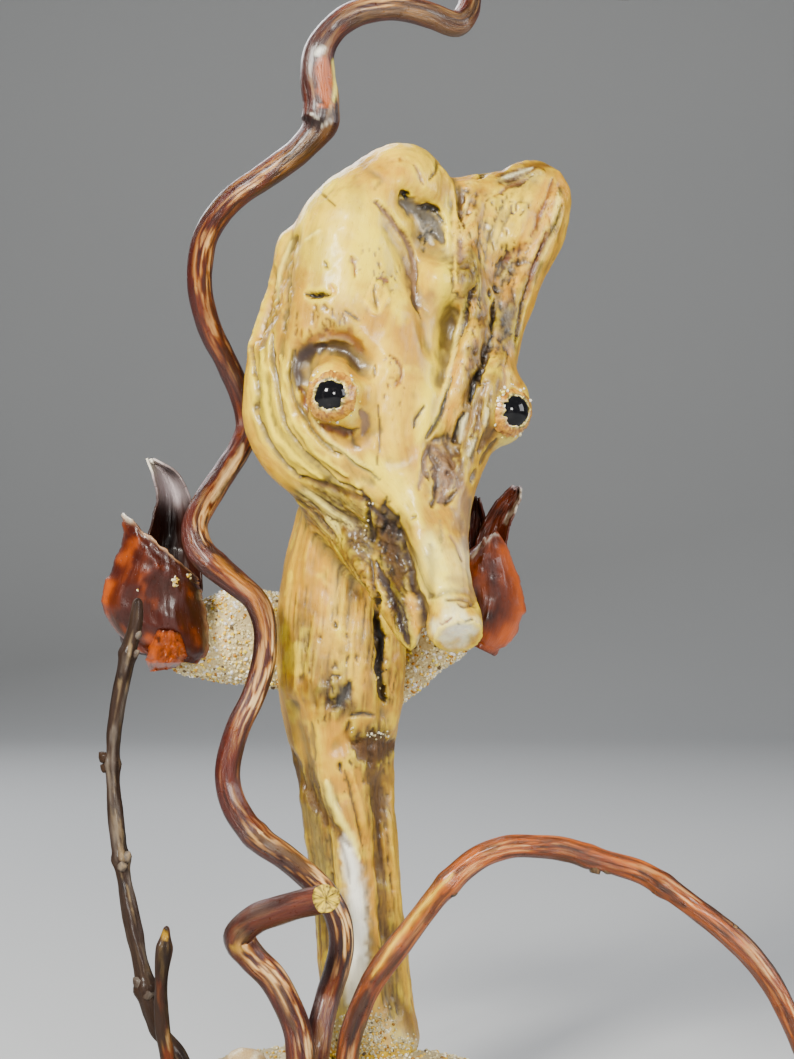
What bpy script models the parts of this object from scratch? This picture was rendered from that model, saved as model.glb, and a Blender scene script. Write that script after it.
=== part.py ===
"""A driftwood horse head on a sand-crusted base, among curly willow stems and dried seed pods.

Metres, +Z up, the face looks towards -Y. The origin is the middle of the base's flat underside.
The head, neck and trunk are one piece of driftwood, so its pose and proportions are drawn in figure
millimetres, which grow with WOOD_HEIGHT. The willow stems are drawn in the same millimetres.
"""

import math

import bmesh
import bpy
import numpy as np
from mathutils import Matrix, Vector

# Driftwood figure
WOOD_HEIGHT = 0.2255
DRAWN_HEIGHT = 225.5
FIGURE_MM = WOOD_HEIGHT / DRAWN_HEIGHT
FOOT_RADIUS = 0.0128
FOOT_POCKET_DEPTH = 0.004
WOOD_TRIANGLES = 3600
WOOD_VOXEL = 0.0015

# The figure is drawn on an upright sheet, as someone sees it who stands this far in front of it
SIGHT_DISTANCE = 520.0
SIGHT_X = 10.0
SIGHT_Z = 128.4
SHEET_BACK = 0.018
SHEET_SIDE = 0.008

# Base
BASE_LENGTH = 0.108
BASE_WIDTH = 0.086
BASE_HEIGHT = 0.024
BASE_LOW_DROP = 0.008
BASE_LOW_FROM = 0.008
BASE_LOW_SLOPE = 0.004
BASE_ROUNDING = 3.4
BASE_LOBE = 0.035

# Fits
GLUE_GAP = 0.0004
ROOT_FLOOR = 0.008

# Eyes
EYE_RADIUS = 0.0050
EYE_PROUD = 0.0024

# Places on the trunk's foot and the snout, in figure millimetres
FOOT_PLACE = (3.2, 0, 6)
SNOUT_END = (25.4, 103.2, -41.5)
SNOUT_RUN = ((22.8, 109, -33), (25.6, 101.5, -42))
SNOUT_SAW = 30

# Willow stems and twigs, as radii at their roots
STEM_RADIUS = 0.0032
CUT_STEM_RADIUS = 0.0034
ARCH_RADIUS = 0.0027
TWIG_RADIUS = 0.0020
STUB_RADIUS = 0.0018
STEM_STEP = 0.0060

# Seed pods
POD_HEIGHT = 0.036
POD_RADIUS = 0.0128
POD_WALL = 0.0009
POD_TALL_TOOTH = 0.015
POD_SHORT_TOOTH = 0.006
POD_LOW_RIM = 0.45
POD_LOW_TURN = 0.5
POD_FLARE = 0.16
# Where the rim's teeth stand and how far each reaches round it, as angles from the pod's outer side
POD_TALL_AT, POD_TALL_SPAN = 1.25, 0.75
POD_SHORT_AT, POD_SHORT_SPAN = -0.25, 0.45
POD_FAR_SPAN = 0.6
POD_FAR_SHARE = 0.6
POD_LEAN_BACK, POD_LEAN_OUT = 16, -14
SEAT_GROWTH = 1.2

# Pebble on the base
PEBBLE_LENGTH = 0.013
PEBBLE_HEIGHT = 0.011
PEBBLE_WIDTH_SHARE = 0.84
PEBBLE_TILT = 14


def clear_scene():
    """Removes what a new file starts with."""
    for old in list(bpy.data.objects):
        bpy.data.objects.remove(old)


def new_collection(name):
    """A collection linked to the scene."""
    made = bpy.data.collections.new(name)
    bpy.context.scene.collection.children.link(made)
    return made


def material(name, colour, roughness):
    """A plain Principled material."""
    made = bpy.data.materials.new(name)
    made.use_nodes = True
    shader = made.node_tree.nodes["Principled BSDF"]
    shader.inputs["Base Color"].default_value = (*colour, 1)
    shader.inputs["Roughness"].default_value = roughness
    return made


def object_from(bm, name, collection, finish=None):
    """Turns a bmesh into a linked object and frees it."""
    bmesh.ops.recalc_face_normals(bm, faces=bm.faces)
    mesh = bpy.data.meshes.new(name)
    bm.to_mesh(mesh)
    bm.free()
    mesh.shade_smooth()
    made = bpy.data.objects.new(name, mesh)
    collection.objects.link(made)
    if finish:
        mesh.materials.append(finish)
    return made


def seen(x, z, depth):
    """The place drawn at (x, z) on the sheet that stands depth behind it, all in figure millimetres."""
    spread = 1 + depth / SIGHT_DISTANCE
    across = (SIGHT_X + (x - SIGHT_X) * spread) * FIGURE_MM + SHEET_SIDE
    up = (SIGHT_Z + (z - SIGHT_Z) * spread) * FIGURE_MM + BASE_HEIGHT
    return Vector((across, depth * FIGURE_MM + SHEET_BACK, up))


def drawn(points):
    """The inverse of seen: where world points fall on the sheet, as an (n, 2) array."""
    depth = (points[:, 1] - SHEET_BACK) / FIGURE_MM
    spread = 1 + depth / SIGHT_DISTANCE
    across = ((points[:, 0] - SHEET_SIDE) / FIGURE_MM - SIGHT_X) / spread + SIGHT_X
    up = ((points[:, 2] - BASE_HEIGHT) / FIGURE_MM - SIGHT_Z) / spread + SIGHT_Z
    return np.column_stack([across, up])


def smooth_run(rows, steps):
    """Rows of numbers joined by a Catmull-Rom curve, with the given steps between one row and the next."""
    rows = [np.array(row, float) for row in rows]
    padded = [2 * rows[0] - rows[1], *rows, 2 * rows[-1] - rows[-2]]
    made = []
    for a, b, c, d in zip(padded, padded[1:], padded[2:], padded[3:]):
        for step in range(steps):
            t = step / steps
            made.append(
                0.5 * (2 * b + (c - a) * t + (2 * a - 5 * b + 4 * c - d) * t * t + (3 * b - a - 3 * c + d) * t**3)
            )
    made.append(rows[-1])
    return made


# The driftwood's masses. Each row is x, z and depth on the sheet, then half width, half depth and half height.
TRUNK = [
    (3.2, -4, 6, 12.4, 12.2, 6),
    (3.2, 2, 6, 12.9, 12.4, 8),
    (2.2, 11, 6, 12.2, 11.6, 9),
    (1.2, 23, 6, 11.8, 11.0, 9),
    (0.2, 35, 6, 11.5, 10.8, 9),
    (-1.2, 48, 6, 12.0, 11.2, 9),
    (-2.5, 60, 6, 12.4, 11.6, 9),
    (-3.2, 70, 6, 13.2, 12.2, 8),
    (-3.8, 80, 6, 15.0, 13.4, 8),
    (-4.0, 88, 6, 16.5, 14.6, 8),
    (-4.0, 98, 7, 17.0, 15.0, 9),
    (-3.5, 110, 8, 17.0, 15.0, 9),
    (-2.5, 120, 9, 16.4, 15.0, 9),
    (-1.0, 130, 10, 15.0, 15.0, 9),
    (2.0, 142, 10, 14.0, 15.0, 9),
]
SKULL = [
    (10.5, 212, -4, 13.0, 13.0, 13.0),
    (1.0, 203, -3, 16.5, 18.0, 13.0),
    (-1.5, 189, -2, 18.5, 22.0, 12.0),
    (0.5, 176, -2, 24.0, 24.0, 12.0),
    (1.0, 162, -3, 27.0, 24.0, 12.0),
    (2.5, 151, -4, 25.0, 23.0, 12.0),
    (8.0, 141, -8, 19.5, 18.0, 10.0),
    (14.5, 133, -14, 13.6, 13.5, 9.0),
    (19.2, 125, -21, 9.0, 9.4, 8.0),
    (20.8, 116, -28, 7.5, 7.8, 7.5),
    (22.8, 109, -33, 7.4, 7.4, 7.0),
    (24.6, 104, -37, 7.2, 7.0, 6.4),
]
HORN = [
    (43.4, 210, 4, 10.8, 7.6, 11.4),
    (40.8, 203, 3, 12.0, 9.0, 10.0),
    (37.6, 195, 2, 10.8, 10.0, 9.0),
    (34.0, 184, -1, 9.8, 11.0, 9.0),
    (31.6, 174, -5, 9.2, 13.0, 8.0),
    (29, 164, -8, 9.6, 14.0, 8.0),
    (26, 153, -10, 9.2, 13.0, 8.0),
    (23, 142, -14, 7.4, 11.0, 8.0),
    (20.5, 131, -19, 7.2, 9.0, 8.0),
]
SADDLE = [(34, 207.6, 3, 9.0, 8.5, 10.4), (25, 204.5, 1, 8.0, 11.0, 10.8), (22, 189, -4, 10.0, 15.0, 11.0)]
RIGHT_EYE_BOSS = [(30, 157.6, -7, 8.0, 8.0, 9.0), (34.4, 159, -10, 9.4, 9.2, 10.2)]
LEFT_EYE_BOSS = [(-5.6, 162.6, -23, 8.8, 8.0, 9.4), (-6.4, 162.2, -28.6, 7.6, 5.6, 8.0)]
JOWL = [
    (-17, 199, 2, 3.4, 6.0, 5.0),
    (-19.6, 186, 2, 3.6, 7.0, 6.0),
    (-22.8, 176, 2, 4.0, 7.0, 6.0),
    (-24.6, 165, 1, 4.2, 7.0, 6.0),
    (-24.4, 155, 0, 4.2, 7.0, 5.0),
    (-19.6, 146, -1, 4.6, 8.0, 4.6),
    (-12.0, 139.5, -2, 5.0, 9.0, 4.6),
    (-4.0, 134, -3, 6.0, 10.0, 5.0),
]
JAW = [
    (-5.0, 134, -1, 9.0, 10.0, 6.0),
    (0.5, 127, -6, 8.4, 10.0, 6.0),
    (6.2, 119, -13, 7.0, 9.0, 6.0),
    (10.2, 110, -21, 5.0, 7.0, 6.0),
    (12.4, 103.5, -26, 3.6, 5.0, 4.5),
    (13.6, 100, -28, 2.4, 3.0, 2.8),
]
MASS_STEPS = 3

# The lump of glued grit behind the neck, from under one pod to under the other, in the same way
LEDGE = [
    (-43, 99, 25, 7.5, 8.0, 7.5),
    (-36, 101, 26, 8.5, 9.0, 11.5),
    (-28, 102, 27, 9.5, 9.5, 13.5),
    (-14, 99, 28, 12.0, 10.5, 12.5),
    (0, 95.5, 28, 11.0, 10.0, 11.0),
    (8, 93.2, 27, 7.6, 9.5, 10.4),
    (14.6, 96.4, 25, 6.4, 9.0, 8.4),
    (20, 99.4, 23, 5.8, 8.4, 6.4),
    (24, 100.4, 21, 5.4, 8.0, 5.4),
]
LEDGE_VOXEL = 0.0022
LEDGE_TRIANGLES = 560

# Grooves and ridges: sheet points, half width and depth in figure millimetres. A ridge has a negative depth.
CARVING = [
    ([(26, 211), (25, 196), (24, 183), (21, 166)], 2.4, 2.6),
    ([(38, 196), (33, 176), (30, 168), (27, 158), (24, 150)], 3.4, 4.2),
    ([(45, 208), (41, 190), (37, 174)], 1.8, 1.4),
    ([(6.5, 206), (13, 194), (17, 181), (18.5, 173)], 1.6, 1.4),
    ([(12.5, 211), (18, 206), (20.5, 198)], 3.2, 3.4),
    ([(-16.5, 201), (-19, 188), (-20.6, 174), (-19.6, 162), (-14, 150), (-3, 140)], 1.8, 2.4),
    ([(-24, 166), (-22.6, 156), (-16, 146), (-5, 136)], 1.6, 2.0),
    ([(-15, 174), (-14.4, 160), (-8, 149), (3, 140)], 1.6, 1.9),
    ([(-18, 168), (-17, 158), (-11, 148.6), (0, 139)], 1.4, -1.0),
    ([(-15.2, 158), (-15.2, 166), (-11, 172.8), (-3, 174.4), (2.4, 169)], 2.2, 3.4),
    ([(-10, 154), (-3, 150), (4, 153)], 1.8, 1.4),
    ([(20, 170), (17, 152), (15, 138), (15.5, 126)], 2.0, -1.2),
    ([(24.5, 158), (22, 146), (22.5, 134)], 2.0, 2.0),
    ([(17, 111.4), (23, 111.2), (29.6, 110.6)], 1.5, 0.9),
    ([(6, 134), (10, 126), (14.6, 114), (16.6, 106)], 2.0, 2.6),
    ([(2, 126), (4.5, 117), (8, 108)], 1.6, 1.6),
    ([(-17, 84), (-12, 62), (-9, 50), (-7.6, 30), (-7, 10)], 2.4, 2.4),
    ([(-10, 78), (-5, 60), (-2, 46), (-1, 24), (0, 10)], 2.8, -1.2),
    ([(11, 76), (7, 62), (5.6, 46), (7, 26), (9, 10)], 2.4, 2.2),
    ([(6.5, 116), (6, 104), (7, 92), (7.6, 82)], 1.8, 2.2),
    ([(-6, 74), (2, 76), (11, 76)], 1.6, 1.2),
]

EYE_PLACES = {
    "eye_left": ((-6.8, 162.0, -33.6), (-0.16, -0.98, 0.02)),
    "eye_right": ((40.0, 158.0, -16.8), (0.68, -0.73, 0.0)),
}

# Willow routes from root to tip: x, z and depth on the sheet, then the radius as a share of the root's.
STEM_ROUTE = [
    (-11.6, -8.0, -27, 1.0),
    (-9.8, 0.0, -26, 1.0),
    (-7.6, 10, -21, 0.98),
    (-4.4, 21, -21, 0.98),
    (-4.2, 29, -21, 0.97),
    (-7.6, 37, -21, 0.97),
    (-16, 45, -19, 1.0),
    (-25, 51.5, -16, 1.02),
    (-30.4, 59, -14, 0.98),
    (-32.4, 67, -13, 0.96),
    (-30, 78, -12, 0.93),
    (-24.8, 90, -10, 0.91),
    (-22.8, 101, -9, 0.91),
    (-25, 110, -8, 0.93),
    (-32.6, 117, -7, 1.05),
    (-39, 123, -5, 1.08),
    (-40.4, 130, -2, 1.03),
    (-35.6, 139, 4, 0.97),
    (-29.4, 148.5, 10, 0.95),
    (-27.4, 156, 13, 0.94),
    (-31.5, 168, 12, 0.93),
    (-37, 179, 8, 0.95),
    (-39.4, 190, 4, 0.99),
    (-37.6, 202, 1, 1.0),
    (-31, 211, -2, 1.0),
    (-21, 218, -4, 1.02),
    (-12.6, 225, -5, 1.08),
    (-9.0, 231, -5, 1.3),
    (-9.6, 239, -5, 1.42),
    (-10, 246, -5, 1.3),
    (-6.6, 252.6, -5, 1.05),
    (-1, 257, -5, 1.0),
    (7, 258.6, -5, 0.97),
    (16, 257.8, -5, 0.98),
    (23.4, 254.8, -4, 1.0),
    (27.2, 256.4, -1, 0.93),
    (28.6, 263, 3, 0.86),
    (33, 270.5, 6, 0.8),
    (43, 273, 8, 0.76),
    (54, 268.6, 9, 0.72),
    (64, 263.2, 9, 0.68),
    (73, 264.6, 8, 0.62),
    (79, 272, 6, 0.56),
    (80.5, 281, 4, 0.46),
    (85, 288, 3, 0.34),
]
CUT_ROUTE = [
    (-14.4, -8.0, -34, 1.0),
    (-14.3, -3.0, -34, 1.0),
    (-15.4, 4, -33, 0.98),
    (-18.2, 11, -33, 0.98),
    (-22.6, 18, -33, 0.98),
    (-27.6, 22.6, -33, 1.02),
    (-29.6, 27, -34, 1.06),
    (-26.4, 30.4, -36, 1.03),
    (-20.4, 32.8, -39, 1.0),
    (-14.4, 34.6, -42, 0.99),
    (-8.2, 36, -45, 0.98),
]
ARCH_ROUTE = [
    (-2.8, -8, -36, 1.0),
    (-2.4, -3, -36, 1.0),
    (-1.0, 3, -36, 1.0),
    (3.2, 14, -36, 1.02),
    (9.4, 23, -36, 1.02),
    (16, 31.6, -36, 1.02),
    (22.6, 39.8, -37, 1.02),
    (29, 45.4, -37, 1.0),
    (36.4, 48.8, -38, 1.0),
    (45, 49.2, -38, 1.0),
    (53, 48.4, -39, 1.02),
    (60, 46, -40, 0.98),
    (66.6, 44.2, -41, 0.94),
    (73, 41.8, -42, 0.92),
    (79.4, 37.4, -43, 0.94),
    (86, 32.8, -44, 0.92),
    (93, 27.2, -45, 0.95),
    (99.4, 20.8, -46, 0.94),
    (104.6, 13.4, -47, 0.9),
    (109, 4.6, -48, 0.84),
    (112, -3.6, -48, 0.72),
    (116.6, -10.0, -47, 0.52),
]
TWIG_ROUTE = [
    (-40.5, -9, -22, 1.0),
    (-44.6, -3.6, -21, 1.0),
    (-50.4, 5.4, -19, 1.0),
    (-55, 24.8, -15, 0.98),
    (-59, 45, -12, 0.93),
    (-61, 65, -9, 0.9),
    (-60.8, 78, -8, 0.9),
    (-57.4, 96, -7, 0.9),
    (-55.2, 105, -7, 0.85),
    (-54.8, 110, -7, 0.6),
]
STUB_ROUTE = [
    (-45.6, -9, -31, 1.0),
    (-47.4, -3, -31, 1.0),
    (-48.6, 4, -31, 0.95),
    (-49, 12, -31, 0.92),
    (-48.6, 20, -31, 0.92),
    (-48, 24.8, -31, 1.3),
    (-47.8, 27, -31, 0.9),
    (-47.6, 28.4, -31, 0.45),
]

PEBBLE_PLACE = (-27.5, -7.0, -17.0)

# Each pod's middle on the sheet, the side its outer wall is on, and its size as a share of the left pod's
POD_PLACES = {
    "seed_pod_left": ((-50.0, 114.6, 16.0), -1, 1.0),
    "seed_pod_right": ((31.2, 115.0, 16.0), 1, 0.94),
}


def masses(chains, collection, name):
    """Overlapping ellipsoids along each chain, as one rough object."""
    bm = bmesh.new()
    bmesh.ops.create_uvsphere(bm, u_segments=20, v_segments=12, radius=1)
    unit_ball = bpy.data.meshes.new("unit_ball")
    bm.to_mesh(unit_ball)
    bm.clear()
    for chain in chains:
        for x, z, depth, half_width, half_depth, half_height in smooth_run(chain, MASS_STEPS):
            size = Vector((half_width, half_depth, half_height)) * FIGURE_MM
            mass = unit_ball.copy()
            mass.transform(Matrix.Translation(seen(x, z, depth)) @ Matrix.Diagonal((*size, 1)))
            bm.from_mesh(mass)
            bpy.data.meshes.remove(mass)
    bpy.data.meshes.remove(unit_ball)
    return object_from(bm, name, collection)


def modifier(obj, kind, **settings):
    """Adds a modifier with the given settings."""
    made = obj.modifiers.new(kind.title(), kind)
    for key, value in settings.items():
        setattr(made, key, value)
    return made


def baked(obj):
    """Replaces the object's mesh by what its modifiers make of it."""
    graph = bpy.context.evaluated_depsgraph_get()
    mesh = bpy.data.meshes.new_from_object(obj.evaluated_get(graph))
    obj.modifiers.clear()
    obj.data = mesh
    return obj


def reduced(obj, triangles):
    """Bakes the object, then brings it down to about the given number of triangles."""
    baked(obj)
    obj.data.calc_loop_triangles()
    modifier(obj, "DECIMATE", ratio=triangles / len(obj.data.loop_triangles))
    return baked(obj)


def drop_inner_shells(obj):
    """Keeps the connected surface with the most corners, because the masses can close over small voids."""
    bm = bmesh.new()
    bm.from_mesh(obj.data)
    waiting = set(bm.verts)
    shells = []
    while waiting:
        shell = {waiting.pop()}
        edge_of_shell = list(shell)
        while edge_of_shell:
            vert = edge_of_shell.pop()
            for edge in vert.link_edges:
                other = edge.other_vert(vert)
                if other in waiting:
                    waiting.remove(other)
                    shell.add(other)
                    edge_of_shell.append(other)
        shells.append(shell)
    outer = max(shells, key=len)
    spare = [vert for shell in shells if shell is not outer for vert in shell]
    bmesh.ops.delete(bm, geom=spare, context="VERTS")
    bm.to_mesh(obj.data)
    bm.free()


def distance_to(path, points):
    """How far each sheet point is from a path of straight runs."""
    nearest = np.full(len(points), np.inf)
    for a, b in zip(path[:-1], path[1:]):
        a, b = np.array(a, float), np.array(b, float)
        run = b - a
        share = np.clip((points - a) @ run / (run @ run), 0, 1)
        nearest = np.minimum(nearest, np.linalg.norm(points - a - share[:, None] * run, axis=1))
    return nearest


def carve(obj, strokes):
    """Presses each stroke into the side that faces the viewer, along the surface's own normals."""
    mesh = obj.data
    places = np.empty(len(mesh.vertices) * 3, np.float32)
    normals = np.empty(len(mesh.vertices) * 3, np.float32)
    mesh.vertices.foreach_get("co", places)
    mesh.vertices.foreach_get("normal", normals)
    places, normals = places.reshape(-1, 3).astype(float), normals.reshape(-1, 3).astype(float)
    on_sheet = drawn(places)
    facing = np.clip(-normals[:, 1] * 1.6 + 0.2, 0, 1)
    pressed = np.zeros(len(places))
    for path, half_width, depth in strokes:
        path = [row[:2] for row in smooth_run(path, 4)]
        away = distance_to(path, on_sheet) / half_width
        pressed += depth * np.exp(-away * away)
    places -= normals * (pressed * facing * FIGURE_MM)[:, None]
    mesh.vertices.foreach_set("co", places.astype(np.float32).ravel())
    mesh.update()


def cut_away(obj, cutter):
    """Takes the cutter's shape out of the object."""
    cutter.hide_render = True
    cutter.display_type = "WIRE"
    modifier(obj, "BOOLEAN", operation="DIFFERENCE", object=cutter, solver="EXACT")


def ball(name, collection, centre, radii, turn=None, finish=None, segments=14):
    """An ellipsoid, optionally turned by a rotation matrix."""
    bm = bmesh.new()
    turn = turn.to_4x4() if turn else Matrix.Identity(4)
    place = Matrix.Translation(centre) @ turn @ Matrix.Diagonal((*radii, 1))
    bmesh.ops.create_uvsphere(bm, u_segments=segments, v_segments=segments // 2, radius=1, matrix=place)
    return object_from(bm, name, collection, finish)


def post(name, collection, centre, radius, low, high, segments=16):
    """An upright cylinder between two heights."""
    bm = bmesh.new()
    place = Matrix.Translation((centre.x, centre.y, (low + high) / 2))
    bmesh.ops.create_cone(
        bm, cap_ends=True, segments=segments, radius1=radius, radius2=radius, depth=high - low, matrix=place
    )
    return object_from(bm, name, collection)


def eye_centre(name):
    """Where the middle of a glass eye sits, sunk behind its lids."""
    (x, z, depth), look = EYE_PLACES[name]
    return seen(x, z, depth) - Vector(look).normalized() * (EYE_RADIUS - EYE_PROUD)


def driftwood(parts, cutters, finish):
    """The head, neck and trunk, with its eye sockets and its foot cut flat."""
    wood = masses(
        [TRUNK, SKULL, HORN, SADDLE, RIGHT_EYE_BOSS, LEFT_EYE_BOSS, JOWL, JAW],
        parts,
        "driftwood_horse",
    )
    wood.data.materials.append(finish)
    modifier(wood, "REMESH", mode="VOXEL", voxel_size=WOOD_VOXEL)
    modifier(wood, "SMOOTH", factor=0.5, iterations=5)
    baked(wood)
    drop_inner_shells(wood)
    carve(wood, CARVING)
    modifier(wood, "SMOOTH", factor=0.5, iterations=2)
    reduced(wood, WOOD_TRIANGLES)

    foot = foot_middle()
    reach = WOOD_HEIGHT
    slab = post("below_foot", cutters, foot, reach, -reach, foot.z, 4)
    cut_away(wood, slab)
    snout_end(wood, cutters)
    for name in EYE_PLACES:
        hollow = EYE_RADIUS + GLUE_GAP
        cut_away(wood, ball(f"{name}_socket", cutters, eye_centre(name), (hollow,) * 3))
    return wood


def foot_middle():
    """The middle of the trunk's flat foot, just above the floor of its pocket."""
    foot = seen(*FOOT_PLACE)
    foot.z = BASE_HEIGHT - FOOT_POCKET_DEPTH + GLUE_GAP
    return foot


def snout_end(wood, cutters):
    """Saws the snout off square to its length."""
    end = seen(*SNOUT_END)
    along = (seen(*SNOUT_RUN[1]) - seen(*SNOUT_RUN[0])).normalized()
    size = SNOUT_SAW * FIGURE_MM
    bm = bmesh.new()
    turn = along.to_track_quat("Z", "Y").to_matrix().to_4x4()
    bmesh.ops.create_cube(bm, size=size, matrix=Matrix.Translation(end + along * size / 2) @ turn)
    cut_away(wood, object_from(bm, "snout_saw", cutters))


def base_lobes(angle):
    """How far the base's edge swells or draws in at an angle, as a share of its round outline."""
    return 1 + BASE_LOBE * math.sin(3 * angle + 0.6) + BASE_LOBE * 0.6 * math.sin(5 * angle + 2.0)


def sand_height(x, y):
    """The height of the sand over a place on the floor: lower at the front and the left."""
    angle = math.atan2(y / BASE_WIDTH, x / BASE_LENGTH)
    out = math.hypot(2 * x / BASE_LENGTH, 2 * y / BASE_WIDTH) / base_lobes(angle)
    rise = max(0.0, 1 - out**BASE_ROUNDING) ** (1 / BASE_ROUNDING)
    towards_back = 0.5 * x + 0.87 * y
    low = BASE_LOW_DROP / (1 + math.exp((towards_back - BASE_LOW_FROM) / BASE_LOW_SLOPE))
    return rise * (BASE_HEIGHT - low)


def base(parts, cutters, finish):
    """The sand-crusted mound, with a flat underside, a pocket for the trunk and holes for the stems."""
    bm = bmesh.new()
    bmesh.ops.create_uvsphere(bm, u_segments=32, v_segments=20, radius=1)
    everything = bm.verts[:] + bm.edges[:] + bm.faces[:]
    cut = bmesh.ops.bisect_plane(
        bm, geom=everything, dist=1e-4, plane_co=(0, 0, 0), plane_no=(0, 0, 1), clear_inner=True
    )
    rim = [edge for edge in cut["geom_cut"] if isinstance(edge, bmesh.types.BMEdge)]
    bmesh.ops.contextual_create(bm, geom=rim)
    for vert in bm.verts:
        angle = math.atan2(vert.co.y, vert.co.x)
        polar = math.acos(max(-1.0, min(1.0, vert.co.z)))
        out = math.sin(polar) ** (2 / BASE_ROUNDING) * base_lobes(angle)
        x = out * math.cos(angle) * BASE_LENGTH / 2
        y = out * math.sin(angle) * BASE_WIDTH / 2
        on_rim = vert.co.z < 1e-4
        vert.co = Vector((x, y, 0 if on_rim else sand_height(x, y)))
    mound = object_from(bm, "sand_base", parts, finish)
    foot = foot_middle()
    cut_away(
        mound,
        post("foot_pocket", cutters, foot, FOOT_RADIUS + GLUE_GAP, foot.z - GLUE_GAP, 2 * BASE_HEIGHT, 32),
    )
    for name, (route, radius) in STEMS.items():
        root = stem_root(route)
        hole = post(f"{name}_hole", cutters, root, radius + GLUE_GAP, ROOT_FLOOR - GLUE_GAP, 2 * BASE_HEIGHT)
        cut_away(mound, hole)
    return mound


def stem_root(route):
    """Where a stem leaves the sand: over its route's first row, just above the surface."""
    root = seen(*route[0][:3])
    root.z = sand_height(root.x, root.y) + GLUE_GAP
    return root


def stem(name, route, radius, parts, finish):
    """A willow stem along its route, with an upright root down to the floor of its hole."""
    root = stem_root(route)
    rows = [(*root, route[0][3])] + [(*seen(x, z, depth), share) for x, z, depth, share in route[1:]]
    run = smooth_run(rows, 12)
    kept = [run[0]]
    for row in run[1:-1]:
        if np.linalg.norm(row[:3] - kept[-1][:3]) >= STEM_STEP:
            kept.append(row)
    kept.append(run[-1])
    kept.insert(0, np.array([root.x, root.y, ROOT_FLOOR, route[0][3]]))
    curve = bpy.data.curves.new(name, "CURVE")
    curve.dimensions = "3D"
    curve.bevel_depth = radius
    curve.bevel_resolution = 2
    curve.use_fill_caps = True
    spline = curve.splines.new("POLY")
    spline.points.add(len(kept) - 1)
    for point, (x, y, z, share) in zip(spline.points, kept):
        point.co = (x, y, z, 1)
        point.radius = share
    curve.materials.append(finish)
    made = bpy.data.objects.new(name, curve)
    parts.objects.link(made)
    return made


def pod_tooth(away, span):
    """How high a pointed tooth stands at an angle away from its middle, from 0 to 1."""
    return max(0.0, 1 - abs(away) / span) ** 1.3


def pod_outline(rise, angle):
    """Radius and height shares of a seed pod at a share of its wall and an angle, where 0 is its outer side."""
    belly = math.sin(math.pi * (0.12 + 0.50 * rise)) ** 0.55
    turned = (angle + math.pi) % (2 * math.pi) - math.pi
    tall = pod_tooth(turned - POD_TALL_AT, POD_TALL_SPAN)
    short = pod_tooth(turned - POD_SHORT_AT, POD_SHORT_SPAN)
    far = pod_tooth(abs(turned) - math.pi, POD_FAR_SPAN)
    low_side = POD_LOW_RIM * (1 - math.cos(angle - POD_LOW_TURN)) / 2
    rim = POD_HEIGHT * (1 - low_side) + POD_TALL_TOOTH * tall + POD_SHORT_TOOTH * (short + POD_FAR_SHARE * far)
    flare = 1 + POD_FLARE * (tall + short + far) * rise**3
    return belly * flare, rise * rim / POD_HEIGHT


def pod_surface(name):
    """The outer surface of a dried pod like a toothed cup, open at its rim, as a bmesh."""
    place, side, share = POD_PLACES[name]
    bm = bmesh.new()
    rings, around = 6, 24
    bmesh.ops.create_uvsphere(bm, u_segments=around, v_segments=rings * 2, radius=1)
    lower = [vert for vert in bm.verts if vert.co.z > 1e-4]
    bmesh.ops.delete(bm, geom=lower, context="VERTS")
    for vert in bm.verts:
        polar = math.acos(max(-1.0, min(1.0, -vert.co.z)))
        angle = math.atan2(vert.co.y, vert.co.x)
        wide, high = pod_outline(polar / (math.pi / 2), angle)
        if polar < 1e-4:
            wide = 0
        vert.co = Vector((wide * math.cos(angle), wide * math.sin(angle), 0)) * POD_RADIUS
        vert.co.z = high * POD_HEIGHT
    back, out = math.radians(POD_LEAN_BACK), math.radians(POD_LEAN_OUT)
    lean = Matrix.Rotation(back, 3, "X") @ Matrix.Rotation(out, 3, "Y")
    turn = Matrix.Diagonal((side * share, share, share)) @ lean
    middle = Vector((0, 0, POD_HEIGHT / 2))
    for vert in bm.verts:
        vert.co = turn @ (vert.co - middle) + seen(*place)
    bmesh.ops.recalc_face_normals(bm, faces=bm.faces)
    return bm


def seed_pod(name, parts, finish):
    """A hollow pod, with its low rim turned to the neck."""
    pod = object_from(pod_surface(name), name, parts, finish)
    modifier(pod, "SOLIDIFY", thickness=POD_WALL, offset=-1, use_even_offset=True)
    return pod


def pod_seat(name, cutters):
    """The pod's outer form, closed over its rim and grown by the glue gap."""
    bm = pod_surface(name)
    bmesh.ops.holes_fill(bm, edges=[edge for edge in bm.edges if edge.is_boundary])
    bmesh.ops.recalc_face_normals(bm, faces=bm.faces)
    bm.normal_update()
    grown = [(vert, vert.co + vert.normal * GLUE_GAP * SEAT_GROWTH) for vert in bm.verts]
    for vert, place in grown:
        vert.co = place
    return object_from(bm, f"{name}_seat", cutters)


def grit_ledge(parts, cutters, finish):
    """The lump of glued grit behind the neck, hollowed where the neck and the pods sit."""
    ledge = masses([LEDGE], parts, "grit_ledge")
    ledge.data.materials.append(finish)
    modifier(ledge, "REMESH", mode="VOXEL", voxel_size=LEDGE_VOXEL)
    modifier(ledge, "SMOOTH", factor=0.5, iterations=3)
    reduced(ledge, LEDGE_TRIANGLES)
    grown = GLUE_GAP / FIGURE_MM
    neck = [(x, z, d, w + grown, b + grown, h + grown) for x, z, d, w, b, h in TRUNK[6:13]]
    seat = masses([neck], cutters, "neck_seat")
    modifier(seat, "REMESH", mode="VOXEL", voxel_size=WOOD_VOXEL * 2)
    reduced(seat, LEDGE_TRIANGLES)
    cut_away(ledge, seat)
    for name in POD_PLACES:
        cut_away(ledge, pod_seat(name, cutters))
    return ledge


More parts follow.
